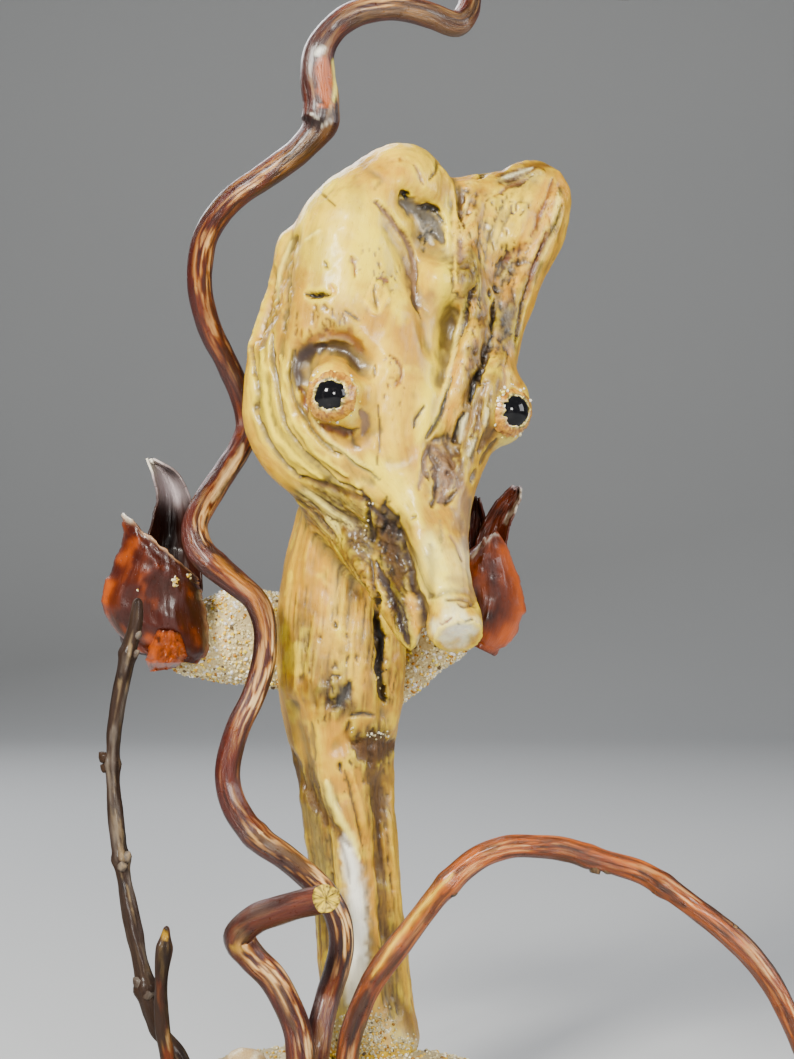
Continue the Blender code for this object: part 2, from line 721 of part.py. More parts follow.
def pebble(parts, cutters, mound, finish):
    """A pebble bedded in the sand at the left."""
    radii = Vector((PEBBLE_LENGTH, PEBBLE_LENGTH * PEBBLE_WIDTH_SHARE, PEBBLE_HEIGHT)) / 2
    centre = seen(*PEBBLE_PLACE)
    turn = Matrix.Rotation(math.radians(PEBBLE_TILT), 3, "Y")
    stone = ball("pebble", parts, centre, radii, turn, finish)
    seat = ball("pebble_seat", cutters, centre, radii + Vector((GLUE_GAP,) * 3), turn)
    cut_away(mound, seat)
    return stone


STEMS = {
    "willow_stem": (STEM_ROUTE, STEM_RADIUS),
    "willow_cut_stem": (CUT_ROUTE, CUT_STEM_RADIUS),
    "willow_arch": (ARCH_ROUTE, ARCH_RADIUS),
    "budded_twig": (TWIG_ROUTE, TWIG_RADIUS),
    "twig_stub": (STUB_ROUTE, STUB_RADIUS),
}


def main():
    """Builds every piece into one collection, with the cutters in another."""
    clear_scene()
    parts = new_collection("driftwood_horse_head_sculpture")
    cutters = new_collection("cutters")
    wood = material("driftwood", (0.62, 0.46, 0.20), 0.55)
    bark = material("willow_bark", (0.28, 0.09, 0.04), 0.35)
    husk = material("pod_husk", (0.26, 0.08, 0.03), 0.3)
    sand = material("sand_grit", (0.60, 0.53, 0.38), 0.9)
    stone = material("pebble_stone", (0.58, 0.47, 0.30), 0.6)
    glass = material("black_glass", (0.01, 0.01, 0.012), 0.05)

    driftwood(parts, cutters, wood)
    mound = base(parts, cutters, sand)
    pebble(parts, cutters, mound, stone)
    for name, (route, radius) in STEMS.items():
        stem(name, route, radius, parts, bark)
    for name in POD_PLACES:
        seed_pod(name, parts, husk)
    grit_ledge(parts, cutters, sand)
    for name in EYE_PLACES:
        ball(name, parts, eye_centre(name), (EYE_RADIUS,) * 3, None, glass)


main()
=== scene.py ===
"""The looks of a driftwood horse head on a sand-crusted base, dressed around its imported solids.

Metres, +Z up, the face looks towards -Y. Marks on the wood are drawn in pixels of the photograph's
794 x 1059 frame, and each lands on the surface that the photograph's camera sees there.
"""

import itertools
import logging
import math
from dataclasses import dataclass, field
from enum import Enum
from typing import Any, ClassVar, Sequence

import bmesh
import bpy
import numpy as np
from mathutils import Matrix, Vector
from mathutils.bvhtree import BVHTree


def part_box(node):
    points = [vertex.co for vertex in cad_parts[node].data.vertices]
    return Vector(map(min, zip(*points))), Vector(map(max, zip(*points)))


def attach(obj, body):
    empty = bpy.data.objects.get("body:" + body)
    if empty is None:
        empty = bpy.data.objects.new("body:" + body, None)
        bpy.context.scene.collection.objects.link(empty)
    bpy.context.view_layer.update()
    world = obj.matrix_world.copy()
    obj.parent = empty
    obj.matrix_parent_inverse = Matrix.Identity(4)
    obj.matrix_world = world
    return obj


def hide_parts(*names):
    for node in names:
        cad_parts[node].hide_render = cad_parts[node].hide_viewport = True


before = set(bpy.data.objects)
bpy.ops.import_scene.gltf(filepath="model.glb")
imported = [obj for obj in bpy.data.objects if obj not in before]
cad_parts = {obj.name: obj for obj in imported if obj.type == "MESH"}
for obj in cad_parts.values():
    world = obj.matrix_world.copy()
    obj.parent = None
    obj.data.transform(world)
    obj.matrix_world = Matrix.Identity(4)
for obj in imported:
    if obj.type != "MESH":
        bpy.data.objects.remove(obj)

MM = 0.001
SEED = 20
FLOOR_GAP = 0.1 * MM
Array = np.ndarray
LUMINANCE = np.array((0.2126, 0.7152, 0.0722))
DEEPENING = 1.32
CONTRAST = 0.45


class Ink(Enum):
    """Colours of the surfaces and their marks, as the eye sees them, from 0 to 255."""

    OCHRE = (198, 152, 62)
    CREAM = (246, 224, 104)
    YELLOW = (242, 208, 88)
    PALE = (246, 232, 150)
    BONE = (240, 234, 196)
    WHITE = (246, 244, 232)
    ORANGE = (208, 156, 44)
    TAN = (190, 152, 76)
    RUST = (142, 82, 42)
    BROWN = (112, 80, 48)
    UMBER = (76, 52, 34)
    DARK = (40, 28, 24)
    BLACK = (12, 9, 9)
    OLIVE = (148, 132, 90)
    MOSS = (176, 164, 112)
    GREY = (128, 122, 112)
    STEEL = (84, 84, 84)
    SILVER = (226, 220, 206)
    MAUVE = (160, 130, 108)
    PLUM = (68, 48, 50)
    MAHOGANY = (104, 42, 26)
    COPPER = (124, 60, 28)
    # Laid as painted highlight on the stems' lit side
    BARK_GOLD = (206, 142, 74)
    # Laid as painted shade on the stems' side away from the light, and as dark bark patches and fibres
    BARK_SHADE = (66, 30, 24)
    BARK_GLINT = (240, 210, 164)
    BARK_ORANGE = (176, 98, 18)
    BARK_BLACK = (50, 36, 32)
    BARK_GREY = (124, 100, 74)
    TWIG = (74, 54, 46)
    TWIG_GREY = (128, 118, 110)
    HUSK = (88, 36, 18)
    HUSK_DARK = (74, 36, 26)
    HUSK_EDGE = (186, 98, 30)
    HUSK_PALE = (196, 160, 130)
    HUSK_GREY = (196, 184, 186)
    HUSK_MAUVE = (128, 62, 24)
    SAW_CUT = (242, 214, 120)
    SAND = (212, 202, 166)
    SAND_PALE = (240, 236, 214)
    SAND_YELLOW = (222, 188, 108)
    SAND_AMBER = (176, 132, 76)
    SAND_DARK = (118, 100, 78)
    STONE = (196, 170, 132)

    @property
    def linear(self) -> Array:
        """The colour as linear light, deepened because bright studio light pales it again.

        Returns:
            Red, green and blue.
        """
        share = ((np.asarray(self.value, float) / 255 + 0.055) / 1.055) ** 2.4
        grey = share @ LUMINANCE
        deep = np.clip(grey + DEEPENING * (share - grey), 0.003, 1)
        return deep * deep.max() ** CONTRAST


@dataclass(frozen=True)
class View:
    """The photograph's camera, as a pinhole with its lengths in pixels of the photograph."""

    eye: tuple[float, float, float] = (0.018, -0.502, 0.1524)
    distance_px: float = 2080.0
    middle: tuple[float, float] = (397.0, 529.5)
    height_px: float = 1059.0
    sensor_mm: float = 36.0

    def pixels(self, points: Array) -> Array:
        """Where world points fall in the frame.

        Args:
            points: An (n, 3) array of world places.

        Returns:
            An (n, 2) array of pixels, across and down.
        """
        ahead = points[:, 1] - self.eye[1]
        across = self.middle[0] + self.distance_px * (points[:, 0] - self.eye[0]) / ahead
        down = self.middle[1] - self.distance_px * (points[:, 2] - self.eye[2]) / ahead
        return np.column_stack([across, down])

    def place(self, pixel: Sequence[float], depth: float) -> Vector:
        """The world place that is seen at a pixel, on the upright plane at y = depth.

        Args:
            pixel: Across and down in the photograph.
            depth: The place's y.

        Returns:
            The place.
        """
        ahead = (depth - self.eye[1]) / self.distance_px
        x = self.eye[0] + (pixel[0] - self.middle[0]) * ahead
        return Vector((x, depth, self.eye[2] - (pixel[1] - self.middle[1]) * ahead))

    def camera(self) -> bpy.types.Object:
        """Makes the camera and gives it to the scene.

        Returns:
            The camera.
        """
        data = bpy.data.cameras.new("view_camera")
        data.sensor_fit = "VERTICAL"
        data.sensor_height = self.sensor_mm
        data.lens = self.sensor_mm * self.distance_px / self.height_px
        data.clip_start = 0.01
        made = bpy.data.objects.new("view_camera", data)
        made.location = self.eye
        made.rotation_euler = (math.pi / 2, 0, 0)
        bpy.context.scene.collection.objects.link(made)
        bpy.context.scene.camera = made
        return made


VIEW = View()


@dataclass(frozen=True)
class Mark:
    """One stroke of the brush and gouge.

    Attributes:
        path: Its points in pixels of the photograph, x and y of each in turn.
        width: Half its width in pixels.
        depth: How far it is pressed in, in millimetres. A ridge has a negative depth.
        ink: The colour that it leaves.
        strength: How strongly the colour covers.
        sharp: How steep its edges are, where 2 is soft.
        ragged: How much its edges wander, as a share of the width.
    """

    path: tuple[float, ...]
    width: float
    depth: float = 0.0
    ink: Ink | None = None
    strength: float = 0.8
    sharp: float = 2.0
    ragged: float = 0.25

    @property
    def points(self) -> Array:
        """Its points as an (n, 2) array."""
        return np.reshape(self.path, (-1, 2)).astype(float)


@dataclass(frozen=True)
class Pits:
    """Small holes strewn over an ellipse of the photograph.

    Attributes:
        middle: The ellipse's middle in pixels.
        spread: Its half width and half height in pixels.
        count: How many holes.
        size: Their half width in pixels.
        depth: Their depth in millimetres.
        ink: Their colour.
        strength: How strongly the colour covers.
    """

    middle: tuple[float, float]
    spread: tuple[float, float]
    count: int
    size: float = 1.6
    depth: float = 0.4
    ink: Ink = Ink.UMBER
    strength: float = 0.7

    def marks(self, draw: np.random.Generator) -> list[Mark]:
        """The holes as short strokes.

        Args:
            draw: Where random numbers come from.

        Returns:
            One stroke a hole.
        """
        made = []
        for _ in range(self.count):
            angle, out = draw.uniform(0, math.tau), math.sqrt(draw.uniform())
            x = self.middle[0] + self.spread[0] * out * math.cos(angle)
            y = self.middle[1] + self.spread[1] * out * math.sin(angle)
            tall = draw.uniform(0.5, 3.0) * self.size
            lean = draw.normal(0, 0.25) * tall
            share = draw.uniform(0.5, 1.2)
            path = (x - lean, y - tall, x + lean, y + tall)
            made.append(Mark(path, self.size * share, self.depth * share, self.ink, self.strength))
        return made


def smooth_run(rows: Sequence[Sequence[float]], steps: int) -> Array:
    """Joins rows of numbers by a Catmull-Rom curve.

    Args:
        rows: The points, each a row of numbers.
        steps: How many steps go from one row to the next.

    Returns:
        An array with one row a step.
    """
    given = [np.asarray(row, float) for row in rows]
    padded = [2 * given[0] - given[1], *given, 2 * given[-1] - given[-2]]
    made = []
    for a, b, c, d in zip(padded, padded[1:], padded[2:], padded[3:]):
        for step in range(steps):
            t = step / steps
            bend = (2 * a - 5 * b + 4 * c - d) * t * t + (3 * b - a - 3 * c + d) * t**3
            made.append(0.5 * (2 * b + (c - a) * t + bend))
    made.append(given[-1])
    return np.array(made)


def distance_to(path: Array, points: Array) -> tuple[Array, Array]:
    """Measures how far flat points are from a path of straight runs.

    Args:
        path: The path's corners, an (m, 2) array.
        points: An (n, 2) array.

    Returns:
        Each point's distance, and how far along the path its nearest spot is, from 0 to 1.
    """
    nearest = np.full(len(points), np.inf)
    spot = np.zeros(len(points))
    for step, (a, b) in enumerate(zip(path[:-1], path[1:])):
        run = b - a
        share = np.clip((points - a) @ run / max(run @ run, 1e-9), 0, 1)
        away = np.linalg.norm(points - a - share[:, None] * run, axis=1)
        closer = away < nearest
        nearest = np.where(closer, away, nearest)
        spot = np.where(closer, (step + share) / (len(path) - 1), spot)
    return nearest, spot


def soft_noise(points: Array, seed: int = 0) -> Array:
    """Smooth noise from -1 to 1 with one swell a unit, the same for the same seed.

    Args:
        points: An (n, 3) array of places.
        seed: Which noise it is.

    Returns:
        One value a point.
    """
    cell = np.floor(points).astype(np.int64)
    part = points - cell
    part = part * part * (3 - 2 * part)
    total = np.zeros(len(points))
    for corner in itertools.product((0, 1), repeat=3):
        at = cell + corner
        mixed = (at[:, 0] * 73856093) ^ (at[:, 1] * 19349663) ^ (at[:, 2] * 83492791) ^ (seed * 7919 + 17)
        mixed = ((mixed ^ (mixed >> 13)) * 1274126177) & 0x7FFFFFFF
        mixed = ((mixed ^ (mixed >> 11)) * 668265263) & 0x7FFFFFFF
        share = np.prod(np.where(corner, part, 1 - part), axis=1)
        total += share * ((mixed % 20011) / 10005.5 - 1)
    return total


def layered_noise(points: Array, layers: int, seed: int = 0) -> Array:
    """Soft noise over itself, each layer twice as fine and half as strong."""
    return sum(soft_noise(points * 2**layer, seed + layer) / 2**layer for layer in range(layers))


def read(items: Any, name: str, width: int, kind: type = np.float32) -> Array:
    """Reads one property of all of a mesh's elements as an array.

    Args:
        items: The elements, such as a mesh's vertices.
        name: The property.
        width: How many numbers each element has.
        kind: Their type.

    Returns:
        An (n, width) array, or a flat one where the width is 1.
    """
    values = np.empty(len(items) * width, kind)
    items.foreach_get(name, values)
    return values.reshape(-1, width) if width > 1 else values


def laid(tint: Array, ink: Ink, share: Array) -> Array:
    """A tint with a colour laid over it, as strongly as each corner's share says."""
    return tint * (1 - share[:, None]) + ink.linear * share[:, None]


def hoops(count: int, around: int, capped: bool = False) -> list[list[int]]:
    """The faces between rings of corners that lie one after the other.

    Args:
        count: How many rings there are.
        around: How many corners each ring has.
        capped: Whether a face closes the first and the last ring.

    Returns:
        Lists of corner numbers.
    """
    faces = []
    for k, j in itertools.product(range(count - 1), range(around)):
        n = (j + 1) % around
        a, b = k * around, (k + 1) * around
        faces.append([a + j, a + n, b + n, b + j])
    if capped:
        faces.append(list(range(around))[::-1])
        faces.append([(count - 1) * around + j for j in range(around)])
    return faces


def write_attribute(mesh: bpy.types.Mesh, name: str, values: Array, wear: Array | float = 1.0) -> None:
    """Keeps one colour or vector a corner in the mesh, under a name that a material reads.

    Args:
        mesh: The mesh.
        name: The attribute's name.
        values: An (n, 3) array. The attribute called tint is a colour, any other a vector.
        wear: How worn each corner is, which a tint carries as its alpha.
    """
    if name == "tint":
        made = mesh.attributes.new(name, "FLOAT_COLOR", "POINT")
        full = np.column_stack([values, np.broadcast_to(wear, len(values))])
        made.data.foreach_set("color", full.astype(np.float32).ravel())
    else:
        made = mesh.attributes.new(name, "FLOAT_VECTOR", "POINT")
        made.data.foreach_set("vector", values.astype(np.float32).ravel())


def deselect_all() -> None:
    """Leaves nothing selected, because operators act on all that is."""
    for item in bpy.context.selected_objects:
        item.select_set(False)


def activate(obj: bpy.types.Object) -> None:
    """Makes the object the only one selected, and active.

    Args:
        obj: The object.
    """
    deselect_all()
    obj.select_set(True)
    bpy.context.view_layer.objects.active = obj


def apply_modifier(obj: bpy.types.Object, kind: str, **settings: Any) -> None:
    """Adds a modifier with the given settings and applies it.

    Args:
        obj: The object.
        kind: The modifier's type.
        settings: Its properties.
    """
    activate(obj)
    made = obj.modifiers.new(kind.title(), kind)
    for key, value in settings.items():
        setattr(made, key, value)
    bpy.ops.object.modifier_apply(modifier=made.name)


def merged_copy(node: str, name: str) -> bpy.types.Object:
    """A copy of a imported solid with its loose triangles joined, under a new name.

    Args:
        node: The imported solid.
        name: The copy's name.

    Returns:
        The linked copy.
    """
    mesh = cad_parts[node].data.copy()
    mesh.materials.clear()
    made = bpy.data.objects.new(name, mesh)
    bpy.context.scene.collection.objects.link(made)
    activate(made)
    bpy.ops.object.mode_set(mode="EDIT")
    bpy.ops.mesh.select_all(action="SELECT")
    bpy.ops.mesh.remove_doubles(threshold=1e-6)
    bpy.ops.object.mode_set(mode="OBJECT")
    return made


def place_piece(obj: bpy.types.Object, finish: bpy.types.Material, slot: str, *nodes: str) -> None:
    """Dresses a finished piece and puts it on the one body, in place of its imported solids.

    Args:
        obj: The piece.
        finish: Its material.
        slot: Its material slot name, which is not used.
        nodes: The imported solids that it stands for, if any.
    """
    obj.data.materials.clear()
    obj.data.materials.append(finish)
    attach(obj, "root")
    if nodes:
        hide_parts(*nodes)
    stands_for = ", ".join(nodes) or "nothing"
    logging.info("%s: %d faces, stands for %s", obj.name, len(obj.data.polygons), stands_for)


class Shape:
    """Corners and faces that are gathered into one mesh, with a tint and a grain place for each corner."""

    def __init__(self) -> None:
        """Starts with nothing."""
        self.corners: list[Array] = []
        self.tints: list[Array] = []
        self.grains: list[Array] = []
        self.faces: list[list[int]] = []
        self.count = 0

    def add(self, corners: Array, faces: Any, tint: Array, grain: Array) -> None:
        """Adds corners and the faces between them, which count from these corners' first.

        Args:
            corners: An (n, 3) array of places.
            faces: Lists of corner numbers.
            tint: One linear colour for all, or one a corner.
            grain: An (n, 3) array of places in the grain.
        """
        offset = self.count
        self.corners.append(corners)
        self.tints.append(np.broadcast_to(tint, corners.shape))
        self.grains.append(grain)
        self.faces.extend([[corner + offset for corner in face] for face in faces])
        self.count += len(corners)

    def build(self, name: str) -> bpy.types.Object:
        """Makes the object.

        Args:
            name: The piece's name.

        Returns:
            The linked object, smooth shaded.
        """
        mesh = bpy.data.meshes.new(name)
        mesh.from_pydata(np.concatenate(self.corners).tolist(), [], self.faces)
        write_attribute(mesh, "tint", np.concatenate(self.tints))
        write_attribute(mesh, "grain", np.concatenate(self.grains))
        mesh.shade_smooth()
        made = bpy.data.objects.new(name, mesh)
        bpy.context.scene.collection.objects.link(made)
        return made


class Skin:
    """The dense surface of one piece while it is gouged and painted."""

    CELL_PX = 4.0
    GRID = 4096
    HIDDEN_BY = 4 * MM
    WANDER_PX = 1.6
    CURVE_STEPS = 5
    # How many of its widths a mark reaches
    REACH = 3.2

    def __init__(self, mesh: bpy.types.Mesh, tint: Array) -> None:
        """Reads the mesh.

        Args:
            mesh: The mesh to work on.
            tint: One linear colour for all, or one a corner.
        """
        self.mesh = mesh
        self.pairs = read(mesh.edges, "vertices", 2, np.int32)
        self.degree = np.maximum(np.bincount(self.pairs.ravel(), minlength=len(mesh.vertices)), 1)
        self.tint = np.array(np.broadcast_to(tint, (len(mesh.vertices), 3)))
        self.wear: Array | float = 1.0
        self.refresh()
        self.rough = layered_noise(self.co / MM * 0.7, 2, 5)
        swells = [layered_noise(self.co / MM * 0.35, 2, seed) for seed in (6, 7)]
        self.wander = np.column_stack(swells) * self.WANDER_PX

    def refresh(self) -> None:
        """Reads places and normals again, and works out what the photograph's camera sees of them."""
        self.mesh.update()
        self.co = read(self.mesh.vertices, "co", 3).astype(float)
        self.normal = read(self.mesh.vertices, "normal", 3).astype(float)
        self.px = VIEW.pixels(self.co)
        towards = np.asarray(VIEW.eye) - self.co
        ahead = np.linalg.norm(towards, axis=1)
        facing = np.einsum("ij,ij->i", self.normal, towards) / ahead
        cell = np.clip(self.px / self.CELL_PX + self.GRID / 2, 0, self.GRID - 1).astype(np.int64)
        key = cell[:, 0] * self.GRID + cell[:, 1]
        known, slot = np.unique(key, return_inverse=True)
        nearest = np.full(len(known), np.inf)
        np.minimum.at(nearest, slot, ahead)
        in_sight = (ahead < nearest[slot] + self.HIDDEN_BY).astype(float)
        self.facing = np.clip(facing * 3 + 0.4, 0, 1) * self.averaged(in_sight, 3)

    def averaged(self, values: Array, times: int) -> Array:
        """Evens values out between neighbouring corners, a number of times.

        Args:
            values: One number or one row a corner.
            times: How often.

        Returns:
            The evened values.
        """
        a, b = self.pairs.T
        for _ in range(times):
            columns = values[:, None] if values.ndim == 1 else values
            size = len(columns)
            total = [np.bincount(a, c[b], size) + np.bincount(b, c[a], size) for c in columns.T]
            means = np.column_stack(total) / self.degree[:, None]
            values = (values + means.reshape(values.shape)) / 2
        return values

    def cover(self, mark: Mark) -> Array:
        """How strongly a mark covers each corner, from 0 to 1.

        Args:
            mark: The stroke.

        Returns:
            One share a corner.
        """
        path = mark.points
        if len(path) > 2:
            path = smooth_run(path, self.CURVE_STEPS)
        reach = mark.width * self.REACH
        low, high = path.min(0) - reach, path.max(0) + reach
        near = np.flatnonzero(((self.px > low) & (self.px < high)).all(1) & (self.facing > 0))
        away, spot = distance_to(path, self.px[near] + self.wander[near] * min(1, mark.width / 3))
        taper = 1 - 0.55 * np.abs(2 * spot - 1) ** 3
        away /= mark.width * taper * (1 + mark.ragged * self.rough[near])
        made = np.zeros(len(self.px))
        made[near] = np.exp(-(np.abs(away) ** mark.sharp)) * self.facing[near]
        return made

    def covered(self, marks: Sequence[Mark]) -> Array:
        """How strongly any of the marks covers each corner, from 0 to 1.

        Args:
            marks: The strokes.

        Returns:
            One share a corner.
        """
        made = np.zeros(len(self.px))
        for mark in marks:
            made = np.maximum(made, self.cover(mark) * mark.strength)
        return made

    def press(self, marks: Sequence[Mark]) -> None:
        """Presses the marks into the surface along its normals.

        Args:
            marks: The strokes.
        """
        depth = np.zeros(len(self.co))
        for mark in marks:
            if mark.depth:
                depth += self.cover(mark) * mark.depth
        self.shift(-depth)

    def shift(self, out: Array) -> None:
        """Moves corners out along their normals, by millimetres.

        Args:
            out: How far each corner goes.
        """
        self.co = self.co + self.normal * (out * MM)[:, None]
        self.mesh.vertices.foreach_set("co", self.co.astype(np.float32).ravel())
        self.refresh()

    def blend(self, ink: Ink, share: Array, most: Array | float = 1.0) -> None:
        """Lays a colour over the tint.

        Args:
            ink: The colour.
            share: How much it covers each corner, cut to between 0 and 1.
            most: What the cut share is then multiplied by.
        """
        self.tint = laid(self.tint, ink, np.clip(share, 0, 1) * most)

    def stain(self, marks: Sequence[Mark]) -> None:
        """Lays the marks' colours over the tint, in their order.

        Args:
            marks: The strokes.
        """
        for mark in marks:
            if mark.ink:
                self.blend(mark.ink, self.cover(mark) * mark.strength)

    def hollow(self, times: int) -> Array:
        """How far each corner lies under its surroundings, in millimetres."""
        return np.einsum("ij,ij->i", self.averaged(self.co, times) - self.co, self.normal) / MM

    def store(self) -> None:
        """Writes the tint into the mesh."""
        if "tint" in self.mesh.attributes:
            self.mesh.attributes.remove(self.mesh.attributes["tint"])
        write_attribute(self.mesh, "tint", self.tint, self.wear)


class Wire:
    """A number that flows between shader nodes and takes part in sums."""

    def __init__(self, recipe: "Recipe", socket: bpy.types.NodeSocket) -> None:
        """Wraps an output socket of the recipe's material."""
        self.recipe = recipe
        self.socket = socket

    def _math(self, operation: str, first: Any, second: Any) -> "Wire":
        """Adds a Math node."""
        made = self.recipe.node("Math", {"operation": operation}, {0: first, 1: second})
        return Wire(self.recipe, made.outputs[0])

    def __add__(self, other: Any) -> "Wire":
        """self + other."""
        return self._math("ADD", self, other)

    def __sub__(self, other: Any) -> "Wire":
        """self - other."""
        return self._math("SUBTRACT", self, other)

    def __mul__(self, other: Any) -> "Wire":
        """self * other."""
        return self._math("MULTIPLY", self, other)

    def step(self, low: float, high: float) -> "Wire":
        """0 under low, 1 over high, and smooth between.

        Args:
            low: Where the step starts.
            high: Where it ends, which may be the lower one.

        Returns:
            The step.
        """
        sockets = {"Value": self, "From Min": low, "From Max": high}
        made = self.recipe.node("MapRange", {"interpolation_type": "SMOOTHSTEP"}, sockets)
        return Wire(self.recipe, made.outputs[0])


class Recipe:
    """One material and the nodes that make it."""

    def __init__(self, name: str, **constants: Any) -> None:
        """Starts a material.

        Args:
            name: The material's name.
            constants: What the shader's own sockets are set to, with _ for a space in the socket's name.
        """
        self.material = bpy.data.materials.new(name)
        self.material.use_nodes = True
        self.tree = self.material.node_tree
        self.shader = self.tree.nodes["Principled BSDF"]
        for key, value in constants.items():
            self.shader.inputs[key.replace("_", " ").title().replace("Ior", "IOR")].default_value = value

    def node(self, kind: str, settings: dict | None = None, sockets: dict | None = None) -> Any:
        """Adds a node.

        Args:
            kind: The node's type, without ShaderNode.
            settings: Its properties, which are set first.
            sockets: Values or links of its inputs, by name or number.

        Returns:
            The node.
        """
        made = self.tree.nodes.new(f"ShaderNode{kind}")
        for key, value in (settings or {}).items():
            setattr(made, key, value)
        for key, value in (sockets or {}).items():
            self.feed(made.inputs[key], value)
        return made

    def feed(self, socket: bpy.types.NodeSocket, value: Any) -> None:
        """Links a wire or socket to an input, or sets the input's own value.

        Args:
            socket: The input.
            value: A wire, a socket or a plain value.
        """
        if isinstance(value, Wire):
            value = value.socket
        if isinstance(value, bpy.types.NodeSocket):
            self.tree.links.new(value, socket)
        else:
            socket.default_value = value

    def attribute(self, name: str, output: str) -> bpy.types.NodeSocket:
        """Reads a mesh attribute as a Color or Vector."""
        return self.node("Attribute", {"attribute_name": name}).outputs[output]

    def scaled(self, vector: bpy.types.NodeSocket, scale: Sequence[float]) -> bpy.types.NodeSocket:
        """Stretches a vector by a factor for each axis."""
        made = self.node("VectorMath", {"operation": "MULTIPLY"}, {0: vector, 1: tuple(scale)})
        return made.outputs[0]

    def noise(self, vector: Any, scale: float, detail: float = 3.0, roughness: float = 0.55) -> Wire:
        """Layered noise at a place.

        Args:
            vector: The place.
            scale: Swells in a unit.
            detail: How many layers.
            roughness: How strong the finer layers are.

        Returns:
            The noise, from 0 to 1.
        """
        sockets = {"Vector": vector, "Scale": scale, "Detail": detail, "Roughness": roughness}
        made = self.node("TexNoise", None, sockets)
        return Wire(self, made.outputs[0])

    def cells(self, vector: Any, scale: float) -> Wire:
        """How far a place is from the middle of its cell."""
        made = self.node("TexVoronoi", {"feature": "F1"}, {"Vector": vector, "Scale": scale})
        return Wire(self, made.outputs["Distance"])

    def mix(self, share: Any, first: Any, second: Any, blend: str = "MIX") -> bpy.types.NodeSocket:
        """Mixes two colours.

        Args:
            share: How much of the second there is.
            first: The first colour.
            second: The second colour.
            blend: How the second is laid over the first.

        Returns:
            The colour's socket.
        """
        settings = {"data_type": "RGBA", "blend_type": blend, "clamp_factor": True}
        made = self.node("Mix", settings, {0: share, 6: first, 7: second})
        return made.outputs[2]

    def places(self) -> bpy.types.NodeSocket:
        """The piece's own places, in metres."""
        return self.node("TexCoord").outputs["Object"]

    def bump(self, height: Wire, distance: float, strength: float = 1.0) -> None:
        """Lets a height in 0 to 1 shade the surface."""
        made = self.node("Bump", None, {"Strength": strength, "Distance": distance, "Height": height})
        self.feed(self.shader.inputs["Normal"], made.outputs[0])

    def show(self, colour: Any, roughness: Any = None, coat: Any = None) -> bpy.types.Material:
        """Feeds the shader's colour, and where given its roughness and coat.

        Args:
            colour: A colour or its socket.
            roughness: The roughness.
            coat: The coat's weight.

        Returns:
            The material.
        """
        self.feed(self.shader.inputs["Base Color"], colour)
        if roughness is not None:
            self.feed(self.shader.inputs["Roughness"], roughness)
        if coat is not None:
            self.feed(self.shader.inputs["Coat Weight"], coat)
        return self.material


DEEP = (0.42, 0.30, 0.22, 1.0)
FADED = (1.18, 1.15, 0.95, 1.0)


@dataclass(frozen=True)
class FibreFinish:
    """Varnished wood or bark over a painted tint, streaked along the grain.

    Attributes:
        name: The material's name.
        across: Streaks in a unit across the grain.
        along: Streaks in a unit along the grain.
        streaks: How strongly the streaks darken.
        relief: Depth of the fine relief, in metres.
        gloss: Weight of the varnish coat.
        roughness: Roughness under the varnish.
        specular: How much the fibres themselves shine.
    """

    name: str
    across: float = 0.9
    along: float = 0.06
    streaks: float = 0.5
    relief: float = 0.00025
    gloss: float = 0.7
    roughness: float = 0.42
    specular: float = 0.2

    def material(self) -> bpy.types.Material:
        """Makes the material.

        Returns:
            The material.
        """
        recipe = Recipe(self.name, coat_roughness=0.16, coat_ior=1.45, specular_ior_level=self.specular)
        tint = recipe.attribute("tint", "Color")
        grain = recipe.attribute("grain", "Vector")
        wide = recipe.noise(recipe.scaled(grain, (self.across, self.across, self.along)), 1.0, 5.0, 0.6)
        thin = (self.across * 4, self.across * 4, self.along * 5)
        fine = recipe.noise(recipe.scaled(grain, thin), 1.0, 4.0, 0.65)
        spots = recipe.noise(recipe.places(), 420.0, 4.0, 0.7)
        short = (self.across * 2.5, self.across * 2.5, self.along * 6)
        pores = recipe.cells(recipe.scaled(grain, short), 1.0)
        dark = wide.step(0.52, 0.30) * 0.7 + fine.step(0.5, 0.25) * 0.4 + pores.step(0.16, 0.05) * 0.5
        light = wide.step(0.55, 0.75) * 0.5 + fine.step(0.6, 0.8) * 0.3
        deep = recipe.mix(1.0, tint, DEEP, "MULTIPLY")
        faded = recipe.mix(1.0, tint, FADED, "MULTIPLY")
        wear = Wire(recipe, recipe.attribute("tint", "Alpha"))
        colour = recipe.mix(dark * self.streaks * wear, recipe.mix(light * 0.6, tint, faded), deep)
        colour = recipe.mix(spots.step(0.60, 0.78) * 0.35, colour, deep)
        colour = recipe.mix(spots.step(0.44, 0.28) * 0.4, colour, faded)
        height = (fine * 0.5 + wide * 0.8 - pores.step(0.2, 0.05) * 0.5) * wear
        recipe.bump(height, self.relief)
        rough = spots * 0.2 + (self.roughness - 0.1)
        return recipe.show(colour, rough, spots.step(0.3, 0.45) * self.gloss)


